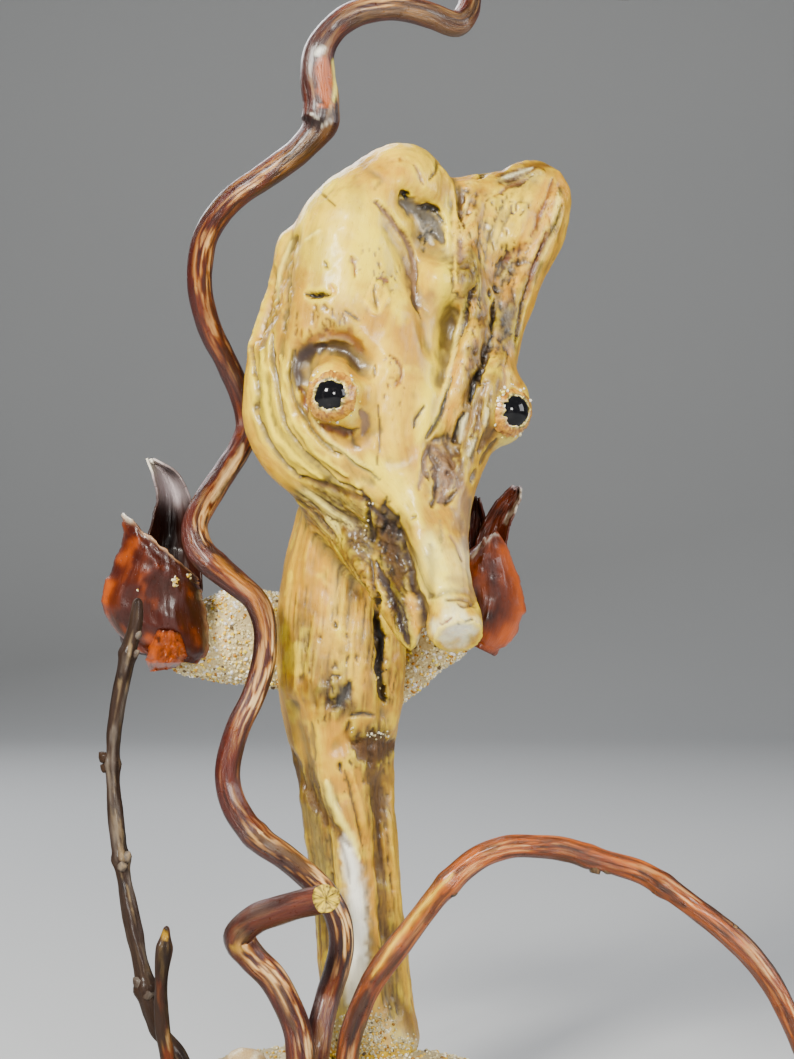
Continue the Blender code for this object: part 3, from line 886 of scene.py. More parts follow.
@dataclass(frozen=True)
class GrainFinish:
    """Glued sand and stone over a painted tint.

    Attributes:
        name: The material's name.
        scale: Specks in a metre.
        relief: Depth of the fine relief, in metres.
        gloss: Weight of the thin glaze.
        roughness: The roughness.
    """

    name: str
    scale: float = 1400.0
    relief: float = 0.0003
    gloss: float = 0.25
    roughness: float = 0.6

    def material(self) -> bpy.types.Material:
        """Makes the material.

        Returns:
            The material.
        """
        recipe = Recipe(self.name, coat_roughness=0.2)
        tint = recipe.attribute("tint", "Color")
        place = recipe.places()
        specks = recipe.noise(place, self.scale, 3.0, 0.7)
        blotches = recipe.noise(place, self.scale / 6, 4.0, 0.6)
        colour = recipe.mix(specks.step(0.55, 0.35) * 0.45, tint, recipe.mix(1.0, tint, DEEP, "MULTIPLY"))
        colour = recipe.mix(blotches.step(0.5, 0.7) * 0.3, colour, recipe.mix(1.0, tint, FADED, "MULTIPLY"))
        recipe.bump(specks + blotches * 0.6, self.relief)
        rough = blotches * 0.3 + (self.roughness - 0.15)
        return recipe.show(colour, rough, specks.step(0.4, 0.6) * self.gloss)


@dataclass(frozen=True)
class GlassFinish:
    """Black glass with faint smears in its polish."""

    name: str = "black_glass"

    def material(self) -> bpy.types.Material:
        """Makes the material.

        Returns:
            The material.
        """
        recipe = Recipe(self.name, ior=1.45, specular_ior_level=0.35)
        smears = recipe.noise(recipe.places(), 900.0, 3.0)
        colour = recipe.mix(smears.step(0.5, 0.8), (0.004, 0.004, 0.005, 1), (0.012, 0.011, 0.012, 1))
        return recipe.show(colour, smears.step(0.4, 0.8) * 0.1 + 0.04)


@dataclass(frozen=True)
class FloorFinish:
    """Plain pale floor with a faint unevenness."""

    name: str = "pale_floor"

    def material(self) -> bpy.types.Material:
        """Makes the material.

        Returns:
            The material.
        """
        recipe = Recipe(self.name)
        drift = recipe.noise(recipe.places(), 3.0)
        colour = recipe.mix(drift, (0.44, 0.45, 0.46, 1), (0.47, 0.475, 0.48, 1))
        return recipe.show(colour, drift * 0.1 + 0.7)


SCARS: tuple[Mark, ...] = (
    # Left slab, forehead and the groove down it
    Mark((258, 262, 258, 290, 252, 335), 15, 3.2),
    Mark((296, 236, 291, 257, 289, 283, 284, 330), 3, 0.9, Ink.OLIVE, 0.75),
    Mark((292, 241, 281, 270, 277, 300), 2.6, -0.3, Ink.PALE, 0.6),
    Mark((319, 191, 336, 207), 1.2, 0.35, Ink.BROWN, 0.7),
    Mark((305, 241, 320, 229), 1.6, -0.3, Ink.PALE, 0.6),
    Mark((375, 201, 387, 214, 400, 232, 411, 251, 414, 270, 414, 296, 418, 309), 3.4, 0.9, Ink.MAUVE, 0.85),
    Mark((376, 200, 388, 213, 402, 232, 413, 251, 416, 275, 416, 300, 420, 318), 1.3, 0.5, Ink.BROWN),
    Mark((384, 216, 396, 238, 406, 262, 408, 290), 5, 0.2, Ink.MAUVE, 0.45),
    Mark((307, 293, 317, 296, 328, 295), 3.2, 1.7, Ink.DARK, 1, 4),
    Mark((331, 286, 334, 293), 3, 0.3, Ink.ORANGE),
    Mark((351, 256, 354, 266, 355, 277), 2, 0.6, Ink.RUST, 0.75),
    Mark((350, 262, 357, 262), 5, 0.2, Ink.MAUVE, 0.55),
    Mark((378, 278, 384, 279, 388, 282), 1.8, 0.5, Ink.RUST),
    Mark((374, 289, 376, 300, 377, 312), 1.4, 0.5, Ink.BROWN, 0.7),
    Mark((375, 282, 386, 290, 383, 306, 374, 312, 366, 300), 3, -0.35, Ink.YELLOW, 0.5),
    Mark((324, 262, 327, 268), 1.8, 0.6, Ink.UMBER, 0.7),
    Mark((345, 311, 352, 316, 359, 321), 1.6, 0.4, Ink.STEEL, 0.7),
    Mark((357, 160, 366, 168, 372, 176), 4.5, 0.1, Ink.OLIVE, 0.45),
    Mark((372, 172, 380, 178, 376, 190), 3, 0.2, Ink.OLIVE, 0.5),
    Mark((399, 159, 401, 162), 1.8, 0.3, Ink.RUST, 0.6),
    Mark((436, 160, 437, 169, 430, 180), 1.6, 0.5, Ink.BROWN, 0.75),
    Mark((414, 165, 420, 176, 423, 184), 1.8, 0.5, Ink.MAUVE, 0.7),
    # Painted highlight at the top of the head
    Mark((401, 141, 411, 141), 5, 0, Ink.SILVER, 0.5),
    # Grey knot holes and the ridge beside them
    Mark((403, 202, 416, 210, 432, 222, 441, 240), 9, 0.9, Ink.GREY, 0.9, 3),
    Mark((404, 192, 406, 197), 4.4, 1.9, Ink.BLACK, 1, 4),
    Mark((421, 208, 430, 209, 440, 212), 3.6, 1.5, Ink.DARK, 0.95, 3),
    Mark((414, 216, 424, 230, 432, 244), 2.6, -0.4, Ink.SILVER, 0.6),
    Mark((436, 214, 445, 224), 2, 0.8, Ink.STEEL),
    Mark((440, 160, 447, 176, 454, 200, 456, 228, 456, 256, 457, 284), 2.4, -0.5, Ink.YELLOW, 0.5),
    Mark((461, 192, 462, 206, 461, 222), 2.4, 0.8, Ink.BROWN, 0.7),
    Mark((460, 240, 460, 252, 460, 262), 4, 0.9, Ink.MAUVE),
    Mark((477, 284, 468, 303, 465, 319, 461, 338), 2.8, 1.3, Ink.UMBER, 0.9),
    # Horn
    Mark((478, 177, 484, 171, 492, 167), 3.4, 0.9, Ink.UMBER, 0.9, 3),
    Mark((499, 182, 515, 175, 535, 165, 552, 164), 5, 0.5, Ink.BROWN, 0.75),
    # Painted highlight streak along the horn's top
    Mark((502, 178, 516, 174, 531, 168), 1.4, -0.4, Ink.BONE),
    Mark((495, 196, 510, 186, 528, 178), 2, 0.4, Ink.RUST, 0.5),
    Mark((558, 172, 566, 184, 562, 210), 4, -0.3, Ink.ORANGE, 0.7),
    Mark((561, 206, 553, 228, 539, 256, 528, 284), 2.4, 0.9, Ink.UMBER, 0.85),
    Mark((556, 186, 548, 214, 538, 238, 528, 258), 3.4, 0, Ink.ORANGE, 0.75),
    Mark((568, 196, 560, 224, 548, 256, 536, 290), 1.8, -0.3, Ink.TAN, 0.7),
    Mark((527, 284, 521, 312, 515, 342), 2.2, 1.2, Ink.UMBER, 0.9),
    Mark((505, 262, 514, 252, 526, 244), 4.5, 0.5, Ink.RUST, 0.6),
    Mark((499, 274, 512, 264, 530, 262), 3.5, 0.3, Ink.BROWN, 0.5),
    Mark((495, 284, 497, 292), 2.2, 1, Ink.DARK, 0.9),
    Mark((489, 290, 490, 298), 1.8, 0.9, Ink.DARK, 0.85),
    Mark((546, 182, 534, 212, 520, 246), 5, 0.3, Ink.ORANGE, 0.6),
    Mark((553, 178, 545, 204, 532, 236), 2.4, 0.5, Ink.RUST, 0.7),
    Mark((548, 232, 536, 262, 526, 300), 4, 0.4, Ink.RUST, 0.6),
    Mark((511, 214, 514, 213), 2, 0.7, Ink.UMBER),
    Mark((491, 203, 493, 203), 1.8, 0.6, Ink.UMBER, 0.7),
    Mark((487, 226, 490, 230), 1.8, -0.5, Ink.WHITE, 0.7),
    Mark((500, 305, 508, 318, 504, 338), 6, 0.4, Ink.GREY, 0.6),
    Mark((494, 300, 492, 330, 484, 360, 479, 385), 2.6, 1.4, Ink.DARK, 0.9),
    Mark((479, 372, 473, 386, 470, 404), 3, 1.5, Ink.BLACK, 0.95, 3),
    # Eye boss at the left: its dark crescent, red shoulder and mauve flake
    Mark((310, 340, 328, 333, 348, 336, 362, 350), 7, 0.5, Ink.RUST, 0.6),
    Mark((318, 342, 336, 338, 352, 344), 3, -0.5, Ink.MAUVE, 0.6),
    # Painted shadow in the socket above and left of the eye, over a shallow groove
    Mark((300, 388, 296, 370, 301, 358, 311, 350, 322, 347), 10, 0.6, Ink.PLUM, 0.95, 3),
    Mark((316, 348, 334, 347, 349, 354, 359, 368), 6, 0.6, Ink.UMBER, 0.85),
    Mark((302, 390, 308, 407, 319, 419, 334, 430, 352, 433), 4.6, 0.9, Ink.RUST, 0.9),
    Mark((334, 428, 348, 432, 358, 428), 2.4, 0.6, Ink.UMBER, 0.6),
    Mark((362, 412, 366, 422, 363, 434), 5, 0.45, Ink.MAUVE, 0.85, 4),
    Mark((352, 436, 354, 445, 360, 448), 3, 0.3, Ink.BROWN, 0.5),
    Mark((378, 405, 380, 432, 377, 464), 1.4, 0.4, Ink.BROWN, 0.6),
    Mark((389, 355, 398, 362, 402, 374, 400, 384), 1.8, 0.5, Ink.RUST, 0.7),
    Mark((375, 366, 374, 376), 1.8, 0.4, Ink.BROWN, 0.5),
    Mark((394, 388, 400, 380), 3, 0.2, Ink.ORANGE, 0.5),
    # Folds of the left cheek, olive in the grooves as painted shade and cream and pale on the ridges as
    # painted highlight
    Mark((250, 345, 257, 391, 256, 407, 258, 418, 272, 448, 294, 473, 302, 479), 2.2, 1.2, Ink.OLIVE),
    Mark((256, 402, 256, 412), 2, 0.9, Ink.UMBER),
    Mark((253, 370, 254, 377), 1.6, 0.6, Ink.BROWN, 0.7),
    Mark(
        (272, 333, 272, 362, 278, 396, 284, 422, 299, 448, 319, 467, 336, 482, 358, 491),
        2.6,
        1.3,
        Ink.OLIVE,
        0.75,
    ),
    Mark((262, 350, 264, 390, 272, 426, 292, 456, 322, 478), 3.2, -0.6, Ink.CREAM, 0.6),
    Mark((294, 350, 290, 377, 296, 402, 309, 423, 322, 442, 340, 456), 2.6, 1.1, Ink.OLIVE, 0.7),
    Mark((282, 356, 284, 392, 296, 424, 316, 452, 348, 476), 3, -0.6, Ink.CREAM, 0.6),
    Mark((322, 442, 336, 448, 352, 462, 380, 480), 2, 0.5, Ink.MOSS, 0.6),
    Mark((312, 418, 326, 436, 344, 452, 372, 470), 2.4, -0.4, Ink.PALE, 0.5),
    Mark((300, 478, 322, 484, 350, 494, 366, 500), 3.6, 0.9, Ink.BROWN),
    # Middle of the face, down to the snout
    Mark((451, 377, 443, 407, 436, 422, 428, 438), 2.2, 0.9, Ink.STEEL),
    Mark((425, 405, 416, 418, 413, 428), 2, 0.7, Ink.PLUM, 0.75),
    Mark((466, 300, 456, 340, 446, 384, 432, 424), 2.2, -0.4, Ink.PALE, 0.5),
    Mark((463, 412, 457, 426, 454, 441), 2.2, 1, Ink.DARK, 0.9),
    # Painted highlight along the right of the crack
    Mark((466, 414, 462, 430, 459, 442), 2.2, -0.3, Ink.BONE, 0.7),
    Mark((428, 446, 440, 458, 446, 478, 440, 500), 13, 0.7, Ink.MAUVE, 0.85),
    Mark((430, 446, 425, 462, 429, 480), 2, 0.6, Ink.UMBER),
    Mark((444, 441, 451, 456, 447, 474), 1.8, 0.6, Ink.UMBER),
    Mark((430, 452, 438, 470, 436, 492, 432, 506), 3, 0.7, Ink.PLUM, 0.75),
    Mark((446, 452, 452, 468, 448, 486), 2.6, 0.5, Ink.BROWN, 0.6),
    Mark((424, 452, 424, 470, 420, 490), 3, 0.5, Ink.MAUVE, 0.7),
    Mark((456, 450, 462, 466, 460, 486), 3.4, 0.5, Ink.BROWN, 0.6),
    Mark((434, 440, 446, 437, 458, 444), 3, 0.5, Ink.UMBER, 0.6),
    Mark((476, 469, 471, 482), 2.2, 1, Ink.STEEL, 0.85),
    Mark((500, 424, 488, 436, 478, 452), 4, 0.5, Ink.BROWN, 0.7),
    Mark((497, 440, 486, 453, 480, 464), 1.8, 0.6, Ink.UMBER),
    Mark((482, 400, 478, 420, 470, 436), 2.4, 0.7, Ink.BROWN, 0.75),
    Mark((488, 408, 484, 428), 1.8, -0.4, Ink.BONE, 0.7),
    Mark((474, 440, 468, 456), 2, -0.4, Ink.BONE, 0.6),
    Mark((446, 504, 451, 497, 457, 490), 2.6, 1.1, Ink.DARK, 0.9),
    Mark((452, 510, 459, 520, 462, 534), 5, 0.3, Ink.MAUVE, 0.55),
    Mark((462, 486, 466, 512, 470, 548), 9, 0.2, Ink.MAUVE, 0.65),
    Mark((470, 500, 473, 530, 475, 566), 4, 0.3, Ink.GREY, 0.6),
    Mark((440, 520, 441, 535, 441, 552), 1.3, 0.25, Ink.MOSS, 0.6),
    Mark((450, 536, 456, 546, 463, 562), 1.6, 0.3, Ink.MAUVE, 0.6),
    Mark((411, 519, 415, 516), 2, 0.5, Ink.BROWN, 0.6),
    # Painted shadow along the crease above the snout's end
    Mark((430, 597, 448, 591, 466, 594, 475, 602), 4, 0.5, Ink.OLIVE, 0.6),
    Mark((446, 600, 462, 600, 476, 606), 2.4, 0.6, Ink.BROWN, 0.6),
    Mark((448, 578, 464, 584, 478, 596), 7, 0.2, Ink.MAUVE, 0.55),
    Mark((430, 545, 432, 570, 430, 596), 5, 0.2, Ink.OLIVE, 0.55),
    # Painted shadow in the crease
    Mark((457, 604, 465, 607, 474, 604), 1.6, 0.5, Ink.BROWN, 0.7),
    Mark((433, 605, 440, 612), 3.5, 0, Ink.YELLOW, 0.6),
    Mark((440, 624, 447, 621, 452, 617), 1.3, 0.5, Ink.RUST, 0.9),
    Mark((465, 621, 473, 619), 1.3, 0.5, Ink.UMBER, 0.85),
    Mark((457, 618, 459, 625), 0.9, 0.2, Ink.BROWN, 0.6),
    # Under the cheek, and the lip beside the snout, with painted shadow under the cheek and in the crevice
    # beside the snout
    Mark((360, 490, 372, 508, 388, 526, 400, 535, 406, 545), 4.4, 1, Ink.PLUM, 0.95),
    Mark((405, 546, 410, 571, 414, 589, 420, 602, 424, 614, 425, 628), 4.2, 1.3, Ink.PLUM, 1),
    Mark((367, 502, 369, 516, 370, 532, 373, 542), 2.4, 1.2, Ink.BLACK, 0.9),
    Mark((376, 562, 384, 580, 391, 596, 398, 614, 403, 632, 409, 646), 4.6, 0.9, Ink.PLUM, 0.95),
    Mark((384, 505, 394, 525, 399, 545, 403, 566), 8, 0.2, Ink.UMBER, 0.7),
    Mark((392, 540, 400, 566, 406, 590), 4, 0.3, Ink.DARK, 0.7),
    Mark((376, 520, 388, 545, 394, 565, 400, 585), 9, 0.3, Ink.BROWN, 0.85),
    Mark((411, 594, 414, 618, 417, 636), 4, -0.4, Ink.ORANGE, 0.7),
    Mark((404, 600, 406, 622, 410, 640), 1.2, 0.4, Ink.UMBER),
    Mark((420, 634, 417, 646), 2, 0, Ink.BONE, 0.6),
    # Neck
    Mark((378, 596, 378, 620, 381, 645, 379, 668, 382, 686, 385, 700), 4.8, 1.9, Ink.BLACK, 0.95, 3),
    Mark((370, 560, 374, 590, 378, 620), 3, 0.8, Ink.UMBER),
    Mark((349, 682, 345, 694, 337, 706), 6, 1, Ink.STEEL, 0.9, 3),
    Mark((328, 698, 334, 709), 4.5, 1, Ink.UMBER, 0.85),
    Mark((302, 676, 310, 690, 318, 706), 7, 0.3, Ink.BROWN, 0.6),
    Mark((331, 675, 341, 676), 1.6, 0.6, Ink.DARK, 0.85),
    Mark((334, 622, 336, 628), 2, 0.8, Ink.DARK, 0.85),
    Mark((351, 716, 362, 714, 375, 715), 1.8, 0.7, Ink.STEEL, 0.85),
    Mark((350, 722, 346, 734, 352, 744), 3, 0.9, Ink.UMBER),
    # Brown wood in the recess, darkened further as painted shade
    Mark((358, 746, 374, 750, 392, 746), 15, 1.1, Ink.BROWN, 1, 4),
    Mark((372, 764, 376, 790, 380, 815), 10, 0.7, Ink.BROWN, 0.9),
    Mark((376, 800, 380, 850, 384, 910, 390, 960), 7, 0.6, Ink.BROWN, 0.75),
    Mark((394, 772, 393, 820, 396, 870, 402, 950, 408, 1010), 4, -0.4, Ink.TAN, 0.7),
    Mark((334, 722, 342, 738, 346, 756), 6, 0, Ink.ORANGE, 0.7),
    Mark((352, 772, 361, 810, 369, 850, 373, 900, 378, 945), 3.2, -0.5, Ink.ORANGE, 0.7),
    Mark((327, 781, 331, 800, 341, 820, 352, 838, 359, 860), 3.6, -0.6, Ink.PALE, 0.85),
    Mark((345, 838, 352, 870, 356, 905, 358, 940, 356, 975, 350, 1002), 9.5, -0.6, Ink.WHITE, 1, 3),
    Mark((338, 836, 346, 858, 350, 884), 1.8, 0.7, Ink.BROWN, 0.6),
    Mark((360, 960, 352, 992, 336, 1026), 8, 0, Ink.OLIVE, 0.5),
    # Painted shade along the flute and on the trunk's left
    Mark((288, 748, 300, 776, 314, 800, 332, 826, 350, 846), 5.5, 1, Ink.BROWN, 0.75, 2, 0.1),
    Mark((290, 752, 298, 790, 306, 830), 9, 0.2, Ink.BROWN, 0.7, 2, 0.1),
    Mark((304, 806, 316, 836, 322, 870, 326, 920), 7, 0.2, Ink.OLIVE, 0.7),
    Mark((339, 763, 339, 770), 2.2, 0.9, Ink.DARK, 0.85),
    Mark((312, 722, 313, 740, 315, 760), 3, 0.6, Ink.OLIVE, 0.75),
    Mark((345, 770, 354, 806, 362, 846), 1.4, 0.5, Ink.BROWN, 0.6),
    Mark((330, 876, 334, 930, 336, 990), 4, 0.5, Ink.OLIVE, 0.7),
    Mark((400, 1000, 408, 1020, 414, 1036), 8, 0, Ink.BROWN, 0.7),
)

GROUNDS: tuple[Mark, ...] = (
    Mark((330, 190, 345, 250, 340, 280), 60, 0, Ink.CREAM, 0.95),
    Mark((380, 150, 415, 150, 432, 175), 26, 0, Ink.YELLOW, 0.9),
    Mark((392, 162, 404, 170), 12, 0, Ink.ORANGE, 0.5),
    Mark((372, 235, 392, 262, 400, 320), 14, 0, Ink.CREAM, 0.6),
    Mark((374, 288, 380, 306), 14, 0, Ink.YELLOW),
    Mark((448, 200, 448, 280, 442, 340, 428, 400, 420, 440), 12, 0, Ink.CREAM, 0.9),
    Mark((430, 290, 430, 330), 10, 0, Ink.MAUVE, 0.45),
    Mark((500, 200, 520, 210, 500, 240), 34, 0, Ink.CREAM),
    Mark((562, 180, 548, 230, 528, 290), 14, 0, Ink.ORANGE, 0.9),
    Mark((520, 250, 510, 275), 14, 0, Ink.TAN, 0.6),
    Mark((478, 300, 474, 350, 462, 400), 11, 0, Ink.ORANGE, 0.55),
    Mark((505, 320, 500, 350), 12, 0, Ink.GREY, 0.5),
    Mark((318, 318, 330, 322), 24, 0, Ink.TAN, 0.6),
    Mark((332, 368, 345, 378), 15, 0, Ink.ORANGE, 0.75),
    Mark((350, 405, 350, 420), 13, 0, Ink.PALE),
    Mark((385, 345, 392, 400, 390, 450), 20, 0, Ink.YELLOW, 0.7),
    Mark((388, 350, 396, 376), 12, 0, Ink.ORANGE, 0.35),
    Mark((262, 360, 268, 410, 300, 460, 340, 488), 20, 0, Ink.CREAM, 0.75),
    Mark((370, 460, 400, 490, 416, 520), 18, 0, Ink.CREAM, 0.9),
    Mark((514, 392, 506, 404), 14, 0, Ink.TAN),
    Mark((508, 388, 520, 384), 6, 0, Ink.RUST, 0.6),
    Mark((516, 436, 500, 448), 10, 0, Ink.PALE),
    Mark((480, 420, 470, 450, 484, 460), 11, 0, Ink.TAN, 0.7),
    Mark((430, 540, 440, 580, 446, 600), 26, 0, Ink.PALE, 0.9),
    Mark((464, 540, 472, 580), 10, 0, Ink.SILVER, 0.45),
    Mark((440, 628, 470, 626), 24, 0, Ink.BONE, 1, 4),
    Mark((446, 630, 466, 628), 11, 0, Ink.WHITE, 0.7),
    # Brown fibres where the jaw joins the neck, with painted shade there
    Mark((300, 500, 330, 512, 368, 560), 24, 0, Ink.BROWN, 0.75),
    Mark((296, 540, 330, 545), 22, 0, Ink.ORANGE, 0.3),
    Mark((380, 512, 394, 550, 402, 592), 13, 0, Ink.BROWN),
    Mark((390, 584, 402, 616, 411, 645), 12, 0, Ink.BROWN, 1),
    Mark((306, 492, 336, 512, 366, 542), 15, 0, Ink.BROWN, 0.75),
    Mark((330, 1034, 372, 1030, 412, 1044), 18, 0, Ink.SAND, 0.85),
    Mark((352, 995, 345, 1020), 9, 0, Ink.SAND, 0.7),
    Mark((466, 200, 470, 290, 462, 360, 452, 420), 15, 0, Ink.ORANGE, 0.7),
    Mark((478, 270, 482, 330, 476, 380), 9, 0, Ink.BROWN, 0.65),
    Mark((520, 240, 512, 290, 506, 330), 16, 0, Ink.ORANGE, 0.65),
    Mark((512, 300, 504, 345), 12, 0, Ink.MAUVE, 0.7),
    Mark((480, 190, 505, 178, 545, 168), 10, 0, Ink.RUST, 0.7),
    Mark((566, 190, 552, 235, 530, 290), 8, 0, Ink.ORANGE, 0.75),
    Mark((472, 372, 466, 396), 10, 0, Ink.BROWN),
    Mark((500, 368, 490, 380), 12, 0, Ink.BROWN, 0.6),
    Mark((300, 372, 312, 350, 340, 340, 362, 354), 12, 0, Ink.BROWN, 0.75),
    Mark((302, 400, 316, 424, 340, 436), 9, 0, Ink.ORANGE, 0.7),
    Mark((300, 310, 330, 318, 352, 326), 14, 0, Ink.TAN, 0.7),
    Mark((440, 462, 444, 480), 17, 0, Ink.MAUVE, 0.75),
    Mark((478, 404, 466, 440, 462, 468), 8, 0, Ink.BROWN, 0.5),
    Mark((310, 560, 300, 640, 320, 690), 26, 0, Ink.OCHRE, 1),
    # Painted highlight down the middle of the neck
    Mark((338, 600, 344, 650, 352, 676), 18, 0, Ink.YELLOW, 0.5),
    # Painted shade in the folds below the jaw
    Mark((318, 520, 340, 556, 358, 600), 12, 0, Ink.BROWN, 0.45),
    Mark((300, 620, 312, 668), 18, 0, Ink.OLIVE, 0.65),
    Mark((300, 690, 330, 700, 350, 712), 18, 0, Ink.BROWN, 0.55),
    Mark((346, 560, 352, 600), 8, 0, Ink.BROWN, 0.4),
    Mark((396, 640, 398, 690), 7, 0, Ink.BROWN, 0.5),
    # Brown wood in the recess, partly painted shade
    Mark((350, 745, 376, 752, 398, 745), 18, 0, Ink.BROWN, 0.9),
    Mark((396, 650, 398, 700), 14, 0, Ink.OCHRE, 0.7),
    Mark((330, 740, 345, 800, 362, 860), 14, 0, Ink.ORANGE, 0.7),
    # Painted shade over the trunk's left side
    Mark((300, 770, 314, 840, 324, 920, 330, 1000), 20, 0, Ink.BROWN, 0.7),
    Mark((322, 850, 328, 920, 334, 990), 9, 0, Ink.OLIVE, 0.5),
    Mark((356, 900, 352, 980, 350, 1030), 18, 0, Ink.MOSS, 0.7),
    Mark((380, 860, 392, 940, 402, 1020), 18, 0, Ink.TAN, 0.7),
    Mark((376, 900, 382, 980), 5, 0, Ink.OCHRE, 0.6),
)

WEATHERED: tuple[Mark, ...] = (
    # Right side of the head from the horn to the hollow over the snout
    Mark((500, 200, 520, 215, 505, 245), 26, strength=0.6),
    Mark((470, 190, 470, 260, 476, 340, 470, 400, 450, 440), 22, strength=0.9),
    Mark((505, 245, 505, 300, 500, 360), 22, strength=0.9),
    Mark((500, 180, 540, 172), 12, strength=0.9),
    Mark((560, 190, 545, 240, 525, 290), 14, strength=0.95),
    Mark((440, 460, 455, 480), 22, strength=0.8),
    Mark((505, 372, 484, 420, 470, 455), 16, strength=0.7),
    Mark((425, 225, 430, 240), 16, strength=0.7),
    Mark((318, 322, 340, 326), 22, strength=0.5),
    Mark((378, 275, 385, 290), 22, strength=0.4),
    # Jaw, neck and trunk
    Mark((385, 510, 392, 560, 402, 630), 16, strength=1),
    Mark((304, 496, 336, 516, 366, 545), 24, strength=1),
    Mark((300, 600, 310, 660, 320, 700), 30, strength=0.5),
    Mark((345, 560, 345, 640, 360, 700), 26, strength=0.4),
    Mark((360, 560, 376, 650, 390, 700), 18, strength=0.8),
    Mark((320, 690, 350, 705), 24, strength=0.9),
    Mark((360, 740, 385, 750), 24, strength=1),
    Mark((310, 770, 318, 850, 326, 1000), 24, strength=0.7),
    Mark((375, 790, 385, 880, 395, 1010), 20, strength=0.7),
)

WORMED: tuple[Pits, ...] = (
    Pits((445, 470), (22, 34), 26, 1.6, 0.5, Ink.PLUM, 0.6),
    Pits((512, 262), (16, 22), 26, 1.5, 0.45, Ink.UMBER, 0.6),
    Pits((500, 330), (12, 26), 18, 1.5, 0.4, Ink.STEEL, 0.6),
    Pits((318, 322), (30, 16), 30, 1.4, 0.35, Ink.BROWN, 0.6),
    Pits((425, 232), (14, 20), 18, 1.5, 0.5, Ink.STEEL, 0.6),
    Pits((380, 270), (30, 24), 20, 1.2, 0.3, Ink.MAUVE, 0.5),
    Pits((470, 330), (12, 60), 30, 1.3, 0.4, Ink.BROWN, 0.55),
    Pits((500, 225), (40, 40), 34, 1.3, 0.35, Ink.BROWN, 0.6),
    Pits((386, 540), (14, 40), 22, 2.2, 0.35, Ink.DARK, 0.8),
    Pits((325, 660), (34, 52), 16, 1.5, 0.4, Ink.UMBER, 0.6),
    Pits((392, 380), (14, 34), 18, 1.2, 0.3, Ink.RUST, 0.5),
    Pits((370, 757), (22, 26), 16, 1.4, 0.4, Ink.UMBER, 0.6),
    Pits((350, 770), (40, 90), 18, 1.1, 0.3, Ink.UMBER, 0.5),
)


